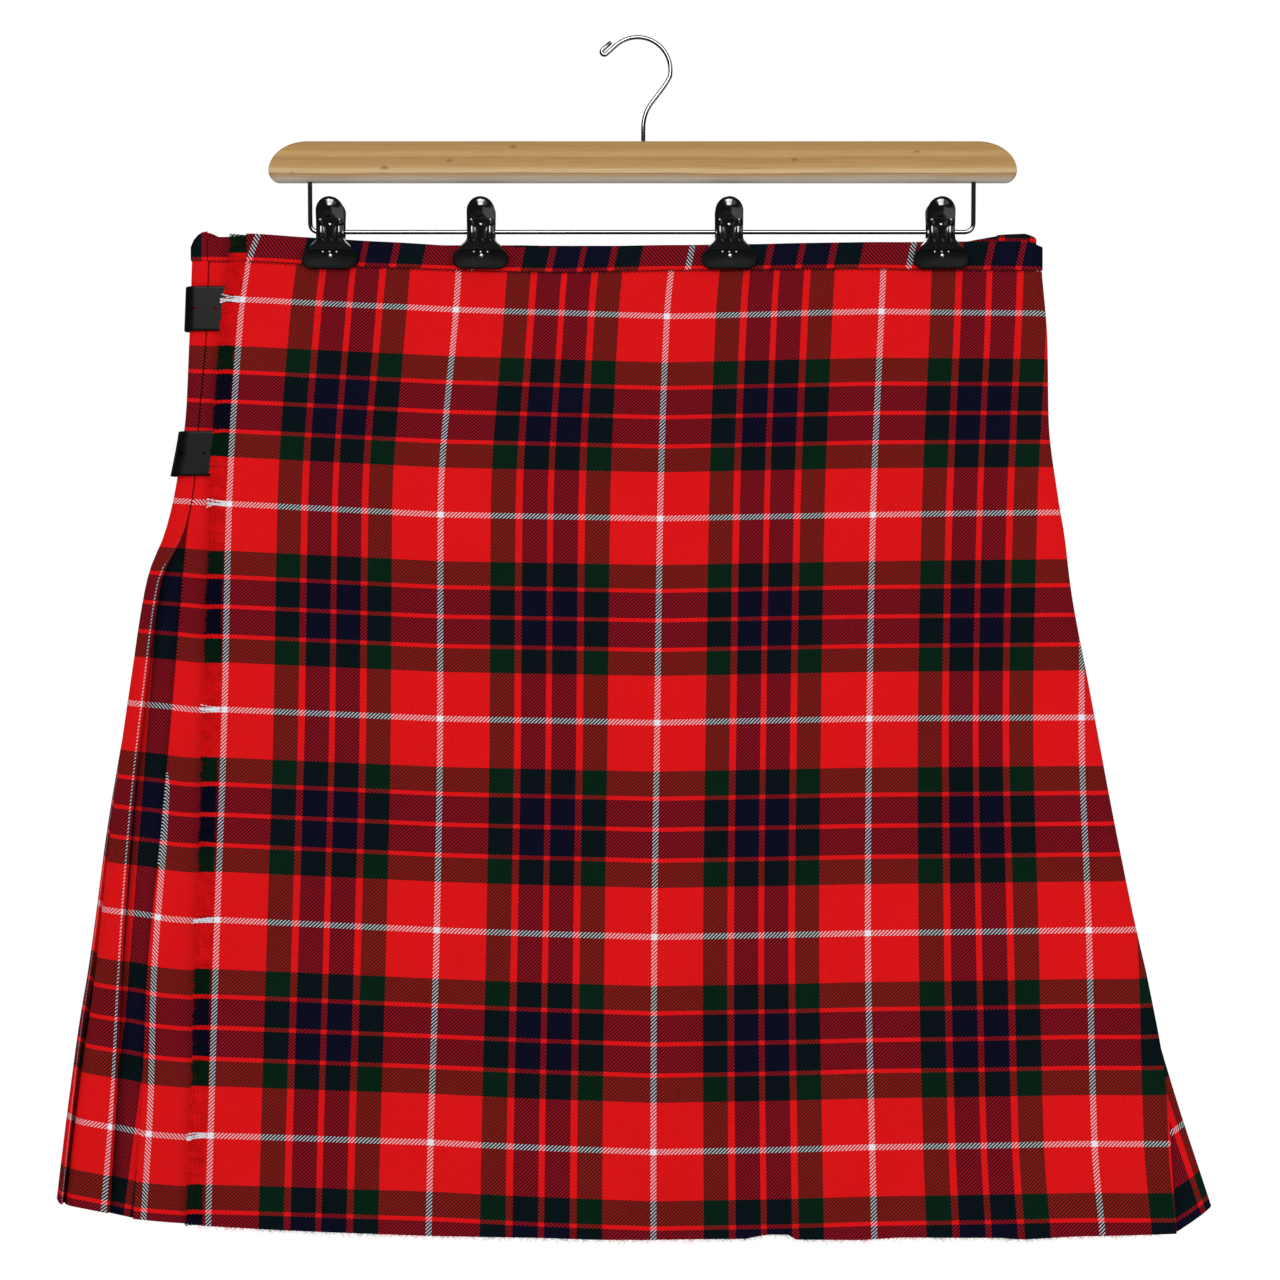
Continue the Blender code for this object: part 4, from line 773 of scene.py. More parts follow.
def strap_pieces(leather, nickel):
    """Both straps with their tabs, keepers, buckles and prongs, and the CAD node that each stands for."""
    over_hinge = HINGE_LEVEL + FRAME_WIRE + FREE + 2 * PRONG_WIRE + 2 * FREE + STRAP_THICK / 2
    over_tab = ON_CLOTH + 2 * TAB_THICK + 2 * FREE + STRAP_THICK / 2
    made = []
    for name, z in STRAPS:
        row = rows_at(-137.3 - z)
        start = front_place(row, row["fringe"] + STRAP_UNDER)[0, 0]
        strap = np.array([(start, STRAP_LEVEL), (24, STRAP_LEVEL), (FRAME_FRONT - 4, STRAP_LEVEL),
                          (FRAME_FRONT + 2.5, STRAP_LEVEL + 0.3), (FRAME_HINGE - 5.5, over_hinge - 0.3),
                          (FRAME_HINGE, over_hinge), (FRAME_HINGE + 5.5, over_hinge - 1.0),
                          (FRAME_HINGE + 12, over_tab), (STRAP_TAIL, over_tab)])
        low, high, end = ON_CLOTH + TAB_THICK / 2, ON_CLOTH + 1.5 * TAB_THICK + FREE, FRAME_HINGE + TAB_LONG
        turns, radius = np.radians(np.arange(-90, -271, -20)), FRAME_WIRE + FREE + TAB_THICK / 2
        hinge = np.column_stack([FRAME_HINGE + radius * np.cos(turns), HINGE_LEVEL + radius * np.sin(turns)])
        tab = np.array([(end, low), (FRAME_HINGE + 6, low), *hinge, (FRAME_HINGE + 7, high + 0.2), (end - 10, high)])
        on_cloth = lambda place, level, w, z=z: spots(place, level, z + w)
        across_cloth = lambda place, level, w, z=z: spots(KEEPER_PLACE + w, level, z + place)
        leg, foot, crown = (inside + KEEPER_THICK / 2 for inside in (STRAP_WIDE / 2 + FREE, ON_CLOTH, KEEPER_INSIDE))
        bridge = np.array([(-leg - KEEPER_FOOT, foot), (-leg, foot), (-leg, crown), (leg, crown), (leg, foot),
                           (leg + KEEPER_FOOT, foot)])
        for part, path, wide, thick, place_at, more in (
                ("strap", strap, STRAP_WIDE, STRAP_THICK, on_cloth, {"holes": STRAP_HOLES}),
                ("tab", tab, TAB_WIDE, TAB_THICK, on_cloth, {}),
                ("keeper", bridge, KEEPER_WIDE, KEEPER_THICK, across_cloth, {"steps": 60})):
            cut = strip(f"{part}_{name}_leather", path, wide, thick, place_at, leather, **more)
            made.append((cut, f"{part}_{name}", "black_leather"))
        tall = STRAP_WIDE / 2 + 2 * FREE + FRAME_WIRE
        corners = [(FRAME_FRONT, FRONT_LEVEL, z + tall), (FRAME_FRONT, FRONT_LEVEL, z - tall),
                   (FRAME_HINGE, HINGE_LEVEL, z - tall), (FRAME_HINGE, HINGE_LEVEL, z + tall)]
        loop = spots(*filleted(corners, 2.0, steps=6, loop=True).T)[None]
        made.append((strands(f"buckle_{name}_wire", loop, FRAME_WIRE, nickel, sides=14, loop=True),
                     f"buckle_{name}", "buckle_metal"))
        radius, turns = FRAME_WIRE + FREE + PRONG_WIRE, np.radians(np.arange(-150, 91, 15))
        route = [(FRAME_HINGE + radius * math.cos(t), HINGE_LEVEL + radius * math.sin(t)) for t in turns]
        tip = (FRAME_FRONT - 2.5, FRONT_LEVEL + radius)
        route = np.array([*route, *(np.array(route[-1]) + (np.array(tip) - route[-1]) * t for t in (0.3, 0.9, 1.0))])
        thin = np.full(len(route), PRONG_WIRE)
        thin[-1] *= 0.55
        made.append((strands(f"prong_{name}_wire", spots(*route.T, z)[None], thin, nickel, sides=12,
                             ref=(0.0, 0.0, 1.0)), f"prong_{name}", "buckle_metal"))
    return made


# ---------------------------------------------------------------- hanger


def hanger_bar(made_of):
    """The bar: its outline in (x, z), level on top with quarter-ellipse ends, drawn in round its front and back
    edges, more along the lower edge."""
    end_low = BAR_BOTTOM + BAR_END_RADIUS
    outline = []
    for sign, end in ((-1, BAR_LEFT), (1, BAR_RIGHT)):
        arc = np.radians(np.linspace(0, 90, 19))
        ellipse = np.column_stack([end - sign * BAR_SHOULDER * (1 - np.sin(arc)),
                                   end_low + (BAR_TOP - end_low) * np.cos(arc)])
        corner = np.column_stack([end - sign * BAR_END_RADIUS * (1 - np.cos(arc)),
                                  end_low - BAR_END_RADIUS * np.sin(arc)])
        outline += [np.concatenate([ellipse, corner[1:]])[::-sign]]
    outline = np.concatenate(outline)
    step = np.roll(outline, -1, axis=0) - np.roll(outline, 1, axis=0)
    step /= np.linalg.norm(step, axis=1, keepdims=True)
    inward = np.column_stack([-step[:, 1], step[:, 0]])
    inward *= np.sign(np.sum(inward * (outline.mean(axis=0) - outline), axis=1))[:, None]
    low = smooth((BAR_BOTTOM + 8 - outline[:, 1]) / 8)
    edge = (BAR_EDGE + (BAR_LOWER_EDGE - BAR_EDGE) * low)[:, None]
    rings = []
    for side, turns in ((-1, np.linspace(0, 90, 9)), (1, np.linspace(90, 0, 9))):
        for turn in np.radians(turns):
            xz = outline + inward * edge * (1 - math.sin(turn))
            y = side * (BAR_DEEP / 2 - edge[:, 0] * (1 - math.cos(turn)))
            rings.append(np.column_stack([xz[:, 0], y, xz[:, 1]]))
    return piece("hanger_bar_wood", np.concatenate(rings), tube_faces(len(rings), len(outline)), made_of, sharp=60)


def hanger_wires(made_of):
    """The hook, from inside the bar up round the crook (a circle's arc) and back on itself at the tip (a half turn),
    and the frame under the bar: down one leg, along and up the other, with rounded corners."""
    radius, centre, crook_end = HOOK_RADIUS, np.array([0.0, HOOK_WIRE - HOOK_RADIUS]), math.radians(132)
    stem = [(3.5, BAR_TOP - SOCKET), (3.5, -50.0), (6.3, -41.8), (16.6, -28.6)]
    arc = [centre + radius * np.array([math.cos(t), math.sin(t)]) for t in np.radians(np.arange(-12, 133, 4))]
    ahead = np.array([-math.sin(crook_end), math.cos(crook_end)])
    away = np.array([ahead[1], -ahead[0]])
    bend, turn_from = 1.75, arc[-1] + 7.6 * ahead
    hairpin = [turn_from + bend * (away * (1 - math.cos(t)) + ahead * math.sin(t))
               for t in np.radians(np.arange(0, 181, 15))]
    last = hairpin[-1] - 7.0 * ahead
    route = np.array([*filleted([*stem, arc[0]], 5.0)[:-1], *arc, *hairpin, last + 0.5 * ahead, last])
    thick = np.full(len(route), HOOK_WIRE)
    thick[-1] *= 0.6
    hook = strands("hook_wire", np.column_stack([route[:, 0], 0 * route[:, 0], route[:, 1]])[None], thick, made_of,
                   sides=20)
    top = BAR_BOTTOM + 2.5 + SOCKET
    corners = [(LEG_X[0], -LEG_FORWARD, top), (LEG_X[0], 0, ROD_Z), (LEG_X[1], 0, ROD_Z), (LEG_X[1], -LEG_FORWARD, top)]
    rod = strands("frame_wire", filleted(corners, ROD_CORNER, steps=12)[None], ROD_WIRE, made_of, sides=20,
                  ref=(0.0, 1.0, 0.05))
    return hook, rod


def jaw_half(z):
    """Half width of a jaw at height z: a round crown, straight sides, and a foot that flares over the pad."""
    crown = JAW_WIDE / 2 * np.sqrt(np.clip(1 - (np.maximum(z - CROWN_Z, 0) / (CROWN_TOP - CROWN_Z)) ** 2, 0, 1))
    return crown + 4.6 * smooth((-121.6 - z) / 7.2) ** 1.3


def jaw_stand(x, z, sharp=1.0):
    """How far the jaw's middle surface stands from the rod: a line that comes down and in, sides that curve in, a
    round boss at the crown, a hollow under it, and three pressed ribs that fade out over the foot."""
    stands, levels = np.array(JAW_LINE)[::-1].T
    stand = through(levels, stands, z)
    stand = stand - 2.4 * (x / JAW_WIDE * 2) ** 2 * (1 - smooth((-z - 112.0) / 8))
    boss = 1.7 * smooth(1.15 - np.hypot(x / 6.6, (z + 105.4) / 5.6))
    hollow = -0.8 * np.exp(-((x + 1.0) / 3.6) ** 2 - ((z + 110.6) / 1.6) ** 2)
    upper = smooth((-109.6 - z) / 2.2) * (1 - smooth((-z - 122.5) / 3.5))
    ribs = sum(np.exp(-((x - place * (1 - 0.012 * (-z - 112))) / 1.15) ** 2) for place in (-6.0, 0.0, 6.0))
    start = np.where(np.abs(x) < 3, smooth((-113.4 - z) / 1.8), smooth((-110.6 - z) / 1.2))
    return stand + sharp * (boss + hollow + 0.95 * ribs * upper * start)


def jaw(name, x, side, made_of):
    """A pressed plate with two ears round the rod. side is -1 in front, 1 behind."""
    z = np.concatenate([CROWN_TOP - 8.4 * (1 - np.cos(np.linspace(0.06, math.pi / 2, 16))),
                        np.linspace(CROWN_Z - 0.6, FOOT_Z, 40)])
    across = np.sin(np.linspace(-1, 1, 33) * math.pi / 2 * 0.97) / math.sin(math.pi / 2 * 0.97)
    grid_x, grid_z = jaw_half(z)[:, None] * across, z[:, None] + 0 * across
    middle = np.dstack([grid_x, jaw_stand(grid_x, grid_z), grid_z])
    normal = np.cross(np.gradient(middle, axis=0), np.gradient(middle, axis=1))
    normal /= np.linalg.norm(normal, axis=2, keepdims=True)
    normal *= np.sign(normal[..., 1:2])
    half = JAW_SHEET / 2 * (1 - 0.5 * np.abs(across[:, None]) ** 12)
    sheets = [(middle + normal * half * out).reshape(-1, 3) for out in (1, -1)]
    points, faces = closed(*sheets, grid_faces(np.arange(grid_x.size).reshape(grid_x.shape)))
    parts, quads = [points], [faces]
    turn = np.linspace(0, 2 * math.pi, 25)[:-1]
    ear_x = 6.8 if side < 0 else 5.6
    for end in (-1, 1):
        reach = np.column_stack([3.4 * np.cos(turn), 3.7 * np.sin(turn)])
        far = np.cos(turn) > 0.2
        reach[far, 0] = jaw_stand(np.array(ear_x), ROD_Z + reach[far, 1], 0.0) - 0.1
        bore = (ROD_WIRE + 0.3) * np.column_stack([np.cos(turn), np.sin(turn)])
        rings = [np.column_stack([np.full(24, end * ear_x + edge * JAW_SHEET / 2), yz[:, 0], ROD_Z + yz[:, 1]])
                 for edge, yz in ((-1, reach), (1, reach), (1, bore), (-1, bore))]
        index = np.arange(96).reshape(4, 24)
        index = np.concatenate([index, index[:1]])
        quads.append(grid_faces(np.concatenate([index, index[:, :1]], axis=1)) + sum(map(len, parts)))
        parts.append(np.concatenate(rings))
    return piece(name, np.concatenate(parts) * np.array([1, side, 1]) + np.array([x, 0, 0]), np.concatenate(quads),
                 made_of, sharp=40)


def pad(name, x, side, made_of):
    """A stadium-shaped grip with a turned lip round its outer face."""
    straight, radius = (PAD_WIDE - PAD_TALL) / 2, PAD_TALL / 2
    rings = []
    turns = np.radians(np.concatenate([np.arange(-90, 91, 10), np.arange(90, 271, 10)]))
    centres = x + np.repeat([straight, -straight], len(turns) // 2)
    for depth, inset in ((0.0, 0.5), (0.3, 0.1), (0.8, 0.0), (PAD_DEEP - 0.9, 0.0), (PAD_DEEP - 0.35, 0.12),
                         (PAD_DEEP - 0.05, 0.4), (PAD_DEEP, 0.75), (PAD_DEEP - 0.15, 1.1), (PAD_DEEP - 0.4, 1.5)):
        level = np.full(len(turns), side * (GRIP_FACE[side] + depth))
        rings.append(np.column_stack([centres + (radius - inset) * np.cos(turns), level,
                                      ROD_Z - PAD_DROP + (radius - inset) * np.sin(turns)]))
    return piece(name, np.concatenate(rings), tube_faces(len(rings), len(turns)), made_of)


def dome(centre, side, radius, height, rings=5, sides=16):
    """Points and faces of a rivet's head that stands off a plate: rings of a quarter ellipse turned round its axis."""
    rise = np.linspace(0, math.pi / 2 * 0.94, rings)[:, None]
    turn = np.linspace(0, 2 * math.pi, sides, endpoint=False)
    head = [radius * np.cos(rise) * np.cos(turn), side * height * np.sin(rise) + 0 * turn,
            radius * np.cos(rise) * np.sin(turn)]
    return np.dstack(head).reshape(-1, 3) + np.array(centre), tube_faces(rings, sides)


def rivets(name, x, side, made_of):
    """Rivet heads: three in a row over the pad with a larger one below them, and one at each outer rib's shoulder."""
    face, shoulder = GRIP_FACE[side] + PAD_DEEP - 0.5, -111.6
    heads = [(dx, side * (face + 0.9), -131.4, 0.75) for dx in (-4.2, 0.0, 4.2)]
    heads += [(0.4, side * (face + 0.6), -133.6, 1.3)]
    heads += [(dx, side * (jaw_stand(np.array(dx), np.array([shoulder]))[0] + 0.2), shoulder, 0.8)
              for dx in (-5.9, 5.9)]
    points, faces = [], []
    for dx, y, z, radius in heads:
        more, quads = dome((x + dx, y, z), side, radius, 0.5)
        faces += [[corner + sum(map(len, points)) for corner in face] for face in quads]
        points.append(more)
    return piece(name, np.concatenate(points), faces, made_of)


def spring(name, x, made_of):
    """A coil of eight close turns round the rod, with its two ends reaching up behind the jaws."""
    turn, wire = np.linspace(0, 16 * math.pi, 193), 0.5
    radius = ROD_WIRE + 0.35 + wire
    coil = np.column_stack([x + (turn / turn[-1] - 0.5) * (SPRING_LONG - 1.1), radius * np.cos(turn),
                            ROD_Z + radius * np.sin(turn)])
    arm = np.array([[-4.2, 6.2, -107.5], [-4.2, 3.6, -113.6]])
    ends = [run + np.array([x, 0, 0]) for run in (arm, arm[::-1] * np.array([-1, 1, 1]))]
    return strands(name, np.concatenate([ends[0], coil[1:-1], ends[1]])[None], wire, made_of, sides=8,
                   ref=(0.99, 0.1, 0.05))


# ---------------------------------------------------------------- finishes


def srgb(red, green, blue):
    """Linear colour of an 8-bit screen colour."""
    parts = [c / 255 for c in (red, green, blue)]
    return (*(c / 12.92 if c <= 0.04045 else ((c + 0.055) / 1.055) ** 2.4 for c in parts), 1.0)


def arithmetic(operation, turned=False):
    """A method that adds the Math node of that operation, with its two values in the other order if turned."""
    def method(self, other):
        return self.finish.maths(operation, *((other, self) if turned else (self, other)))
    return method


class Value:
    """A shader socket that takes part in arithmetic."""

    __add__ = __radd__ = arithmetic("ADD")
    __mul__ = __rmul__ = arithmetic("MULTIPLY")
    __sub__, __rsub__ = arithmetic("SUBTRACT"), arithmetic("SUBTRACT", turned=True)
    __truediv__ = arithmetic("DIVIDE")

    def __init__(self, finish, socket):
        self.finish, self.socket = finish, socket


class Nodes:
    """A node tree written as expressions."""

    def __init__(self, tree):
        self.tree = tree

    def node(self, kind, settings=(), **values):
        """A node of that type: its settings first, then its sockets' values or links."""
        node = self.tree.nodes.new(kind)
        for name, value in dict(settings).items():
            setattr(node, name, value)
        for name, value in values.items():
            key = int(name[1:]) if name[1:].isdigit() else name.replace("_", " ")
            self.put(node.inputs[key], value)
        return node

    def put(self, socket, value):
        if isinstance(value, Value):
            value = value.socket
        if isinstance(value, bpy.types.NodeSocket):
            self.tree.links.new(value, socket)
        else:
            socket.default_value = value

    def maths(self, operation, *values, clamp=False):
        node = self.node("ShaderNodeMath", {"operation": operation, "use_clamp": clamp},
                         **{f"i{i}": value for i, value in enumerate(values)})
        return Value(self, node.outputs[0])

    def clamp(self, value):
        return self.maths("ADD", value, 0.0, clamp=True)

    def mix(self, share, one, two, blend="MIX"):
        node = self.node("ShaderNodeMix", {"data_type": "RGBA", "blend_type": blend}, i0=share, i6=one, i7=two)
        return node.outputs[2]

    def ramp(self, share, stops, how="CONSTANT"):
        node = self.node("ShaderNodeValToRGB", i0=share)
        ramp = node.color_ramp
        ramp.interpolation = how
        while len(ramp.elements) < len(stops):
            ramp.elements.new(1.0)
        for element, (place, colour) in zip(ramp.elements, stops):
            element.position = place
            element.color = colour
        return node.outputs[0]

    def pattern(self, name="cloth"):
        """u and v of the piece's own map."""
        split = self.node("ShaderNodeSeparateXYZ", i0=self.node("ShaderNodeUVMap", {"uv_map": name}).outputs[0])
        return Value(self, split.outputs[0]), Value(self, split.outputs[1])

    def place(self):
        return self.node("ShaderNodeTexCoord").outputs["Object"]

    def point(self, x=0.0, y=0.0, z=0.0):
        return self.node("ShaderNodeCombineXYZ", i0=x, i1=y, i2=z).outputs[0]

    def noise(self, at, scale, detail=2.0, rough=0.5):
        node = self.node("ShaderNodeTexNoise", Vector=at, Scale=scale, Detail=detail, Roughness=rough)
        return Value(self, node.outputs[0])

    def stretched(self, at, scale):
        """Object coordinates stretched by a different amount along each axis."""
        return self.node("ShaderNodeMapping", Vector=at, Scale=scale).outputs[0]


class Finish(Nodes):
    """A material with one principled shader."""

    def __init__(self, name, **constants):
        self.made = bpy.data.materials.new(name)
        self.made.use_nodes = True
        super().__init__(self.made.node_tree)
        self.shader = self.tree.nodes["Principled BSDF"]
        for socket, value in constants.items():
            self.shader.inputs[socket.replace("_", " ")].default_value = value

    def colour(self, value):
        self.put(self.shader.inputs["Base Color"], value)

    def rough(self, value):
        self.put(self.shader.inputs["Roughness"], value)

    def bump(self, height, distance, strength=1.0):
        node = self.node("ShaderNodeBump", Height=height, Distance=distance * MM, Strength=strength)
        self.put(self.shader.inputs["Normal"], node.outputs[0])


DYES = {"white": srgb(232, 232, 240), "red": srgb(220, 20, 23), "green": srgb(6, 34, 20), "navy": srgb(10, 12, 32)}


def sett_stops(slim=0.0):
    """The order of colours across one repeat, from the middle of a white line to the middle of the next. The narrow
    red lines lose slim threads at each side to their neighbours."""
    at, stops, narrow = 0, [], [dye == "red" and count < 10 for dye, count in SETT_THREADS]
    for i, (dye, count) in enumerate(SETT_THREADS):
        stops.append(((at + slim * (narrow[i] - (i > 0 and narrow[i - 1]))) / REPEAT, DYES[dye]))
        at += count
    return stops


def tartan(name, lean):
    """2/2 twill: warp and weft take turns on top in slanted lines four threads apart, by the sine of a quarter turn
    for each thread of u plus lean times v. lean is +1 for lines that rise to the right and -1 for lines that fall.
    Each dye comes from the same count of threads both ways, and noises make the tone uneven along it. Painted shade
    darkens the grooves between the slanted lines, and the colour wherever the piece's attribute shade is set."""
    cloth = Finish(name, Roughness=0.9, Specular_IOR_Level=0.02)
    u, v = cloth.pattern()
    stray = cloth.noise(cloth.point(u * 60.0, v * 60.0), 1.0, 1.0) * 0.0012
    warp = cloth.ramp(cloth.maths("FRACT", u + stray), sett_stops())
    weft = cloth.ramp(cloth.maths("FRACT", v + stray), sett_stops(WEFT_SLIM))
    threads = (u + v * lean) * TWILL
    wave = cloth.maths("SINE", threads * (math.pi / 2))
    white = [cloth.maths("GREATER_THAN", cloth.maths("ABSOLUTE", cloth.maths("FRACT", way + stray) - 0.5),
                         0.5 - WHITE_HALF / REPEAT) for way in (u, v)]
    pale = cloth.maths("MAXIMUM", *white)
    top = cloth.clamp(wave * (pale * WHITE_HATCH + HATCH) + (white[1] - white[0]) * WHITE_FLOAT + 0.5)
    weave = cloth.mix(SUNK - pale * WHITE_SUNK, cloth.mix(top, weft, warp), cloth.mix(1.0, weft, warp, "DARKEN"))
    uneven = cloth.noise(cloth.place(), 14.0, 3.0)
    yarn = cloth.noise(cloth.point(u * 160.0, v * 700.0), 1.0, 2.0)
    fleck = cloth.noise(cloth.place(), 900.0, 1.0)
    shade = (uneven - 0.5) * 0.14 + (yarn - 0.5) * 0.24 + (fleck - 0.5) * 0.16 + 1.0
    # painted shade: the colour is darker in the grooves between the twill's slanted ridges
    painted_groove_shade = cloth.maths("ABSOLUTE", wave) * 0.13 + 0.90
    # painted shade: the piece's attribute shade darkens the colour where a fold lies close over it
    under = Value(cloth, cloth.node("ShaderNodeAttribute", {"attribute_name": "shade"}).outputs["Fac"])
    tone = shade * painted_groove_shade * (1.0 - under)
    cloth.colour(cloth.mix(1.0, weave, cloth.point(tone, tone, tone), "MULTIPLY"))
    cloth.rough((fleck - 0.5) * 0.2 + 0.88)
    cloth.bump(cloth.maths("ABSOLUTE", wave) + yarn * 0.5 + fleck * 0.6, 0.10, 0.6)
    return cloth.made


def loose_wool(name, across=False):
    """Wool threads in the weft's colours, or in the warp's, with fine hairs of light and dark along them."""
    wool = Finish(name, Roughness=0.92, Specular_IOR_Level=0.02)
    u, v = wool.pattern()
    dye = wool.ramp(wool.maths("FRACT", u if across else v), sett_stops(0.0 if across else WEFT_SLIM))
    twist = wool.noise(wool.place(), 1400.0, 2.0)
    clump = wool.noise(wool.place(), 160.0, 2.0)
    tone = (twist - 0.5) * 0.5 + (clump - 0.5) * 0.6 + 0.93
    wool.colour(wool.mix(1.0, dye, wool.point(tone, tone, tone), "MULTIPLY"))
    wool.bump(twist, 0.06, 0.7)
    return wool.made


def leather_finish():
    """Black bridle leather: a fine even grain, a waxed surface with duller patches, and faint lengthwise rubbing."""
    hide = Finish("black_leather_finish", Specular_IOR_Level=0.08)
    grain = hide.noise(hide.place(), 1500.0, 3.0, 0.6)
    patch = hide.noise(hide.place(), 90.0, 3.0)
    rub = hide.noise(hide.stretched(hide.place(), (40.0, 60.0, 700.0)), 1.0, 2.0)
    hide.colour(hide.mix(hide.clamp(patch * 0.7 + rub * 0.5 - 0.1), srgb(5, 5, 6), srgb(14, 14, 16)))
    hide.rough((patch - 0.5) * 0.16 + (grain - 0.5) * 0.12 + 0.40)
    hide.bump(grain + rub * 0.4, 0.05, 0.5)
    return hide.made


# Two tones, the noise between them (scale, detail), the least roughness and how much a noise adds, that noise if it
# is another, and what raises the surface (noise, height, strength)
PLAIN_FINISHES = {
    # very dark maroon thread for the waistband stitches: its darkness is partly painted shadow, standing for the shadow
    # line under the waistband's lower edge
    "shadow_line_sewing_thread": dict(tones=((34, 4, 10), (66, 7, 16)), tone=(2500.0, 1.0), rough=(0.6, 0.3),
                               Specular_IOR_Level=0.1),
    "red_sewing_thread": dict(tones=((120, 10, 14), (160, 16, 18)), tone=(2500.0, 1.0), rough=(0.6, 0.3),
                              Specular_IOR_Level=0.1),
    # bright nickel, drawn lengthwise, with a faint haze: grey on the hanger's wires, whiter on the buckles
    "bright_wire_finish": dict(tones=((112, 114, 118), (144, 146, 150)), tone=(300.0, 3.0), rough=(0.03, 0.03),
                               Metallic=1.0),
    "buckle_nickel_finish": dict(tones=((206, 207, 210), (232, 233, 235)), tone=(300.0, 3.0), rough=(0.03, 0.03),
                                 Metallic=1.0),
    "rivet_finish": dict(tones=((120, 122, 124), (168, 170, 172)), tone=(900.0, 2.0), rough=(0.2, 0.3), Metallic=0.9),
    # black glossy plating with faint waviness and rubbed specks
    "black_chrome_finish": dict(tones=((2, 3, 3), (6, 8, 8)), tone=(260.0, 2.0), rough=(0.08, 0.10),
                                fine=(1800.0, 1.0), bump=("tone", 0.10, 0.5), Specular_IOR_Level=0.8),
    # matt black dipped grip with a fine pebbled skin
    "clip_pad_finish": dict(tones=((3, 4, 4), (8, 10, 10)), tone=(120.0, 2.0), rough=(0.42, 0.2), fine=(1100.0, 2.0),
                            bump=("fine", 0.05, 0.6), Specular_IOR_Level=0.05),
    "studio_floor": dict(tones=((238, 238, 238), (246, 246, 246)), tone=(2.0, 2.0), rough=(0.85, 0.1),
                         Specular_IOR_Level=0.1),
}


def plain_finish(name, tones, tone, rough, fine=None, bump=None, **constants):
    """Colour goes from one tone to the other with a noise, and roughness is its least value plus a share of the same
    noise or of a finer one."""
    surface = Finish(name, **constants)
    noise = {"tone": surface.noise(surface.place(), *tone)}
    noise["fine"] = surface.noise(surface.place(), *fine) if fine else noise["tone"]
    surface.colour(surface.mix(noise["tone"], *(srgb(*one) for one in tones)))
    surface.rough(noise["fine"] * rough[1] + rough[0])
    if bump:
        surface.bump(noise[bump[0]], *bump[1:])
    return surface.made


# Colours from the bar's bottom (0) to its top (1). Up to 0.3 they are painted light and shade on the rounded lower
# edge: a greyish-pink painted shade on the underside with painted red light thrown back from the cloth, a darker line
# of painted shade at 0.2, and a lighter painted highlight from 0.225 to 0.3. Above that they are the bamboo's own
# tones.
BAR_TONE_AND_SHADE_BANDS = ((0.0, (190, 180, 168)), (0.048, (186, 174, 160)), (0.097, (180, 161, 139)), (0.15, (169, 143, 114)),
             (0.185, (168, 134, 94)), (0.2, (150, 112, 74)), (0.225, (204, 173, 128)), (0.3, (202, 169, 120)),
             (0.345, (187, 151, 101)), (0.39, (181, 142, 91)), (0.49, (176, 135, 83)), (0.59, (170, 130, 77)),
             (0.625, (178, 141, 88)), (0.645, (187, 150, 96)), (0.74, (183, 147, 92)), (0.8, (172, 134, 78)),
             (0.93, (166, 129, 75)), (1.0, (170, 138, 90)))
BAR_KNOTS = ((-155.0, -79.6, 2.2), (-115.0, -75.3, 1.8), (-76.0, -66.8, 2.0), (-211.4, -82.7, 0.9), (96.0, -74.6, 1.8),
             (171.0, -69.8, 1.6))


def bamboo_finish():
    """Split bamboo, laid lengthwise: bands of tone from top to bottom, whose lowest ones are painted shade and a
    painted highlight on the rounded lower edge, fine streaks and fibres, the dark marks of its nodes, and a satin
    varnish."""
    wood = Finish("bamboo_finish", Specular_IOR_Level=0.05)
    at = wood.place()
    split = wood.node("ShaderNodeSeparateXYZ", i0=at)
    x, z = Value(wood, split.outputs[0]), Value(wood, split.outputs[2])
    sway = wood.noise(wood.stretched(at, (9.0, 1.0, 60.0)), 1.0, 2.0)
    level = (z - BAR_BOTTOM * MM) / ((BAR_TOP - BAR_BOTTOM) * MM) + (sway - 0.5) * 0.10
    # the bar's tones, with painted shade and a painted highlight along its lower edge
    bands = wood.ramp(level, [(place, srgb(*colour)) for place, colour in BAR_TONE_AND_SHADE_BANDS], "LINEAR")
    streak = wood.noise(wood.stretched(at, (26.0, 400.0, 1500.0)), 1.0, 4.0, 0.65)
    fibre = wood.noise(wood.stretched(at, (120.0, 900.0, 5200.0)), 1.0, 2.0)
    tone = (streak - 0.5) * 0.62 + (fibre - 0.5) * 0.30 + 1.0
    knots = 0.0
    for knot_x, knot_z, size in BAR_KNOTS:
        dx, dz = (x - knot_x * MM) / (size * MM), (z - knot_z * MM) / (size * 0.45 * MM)
        knots = knots + wood.maths("EXPONENT", (dx * dx + dz * dz) * -1.0)
    dark = wood.mix(wood.clamp(knots * 0.75), bands, srgb(112, 74, 40))
    wood.colour(wood.mix(1.0, dark, wood.point(tone, tone, tone), "MULTIPLY"))
    wood.rough((streak - 0.5) * 0.2 + 0.42)
    wood.bump(streak + fibre * 0.5, 0.05, 0.5)
    return wood.made


# ---------------------------------------------------------------- room, light and camera


def room():
    """A pale floor below the hanging kilt."""
    points = [(x, y, FLOOR_Z) for y in (-0.7, 1.4) for x in (-3.0, 3.0)]
    mesh = bpy.data.meshes.new("studio_floor")
    mesh.from_pydata(points, [], [(0, 1, 3, 2)])
    mesh.materials.append(plain_finish("studio_floor", **PLAIN_FINISHES["studio_floor"]))
    made = bpy.data.objects.new("studio_floor", mesh)
    made.visible_glossy = False
    bpy.context.scene.collection.objects.link(made)


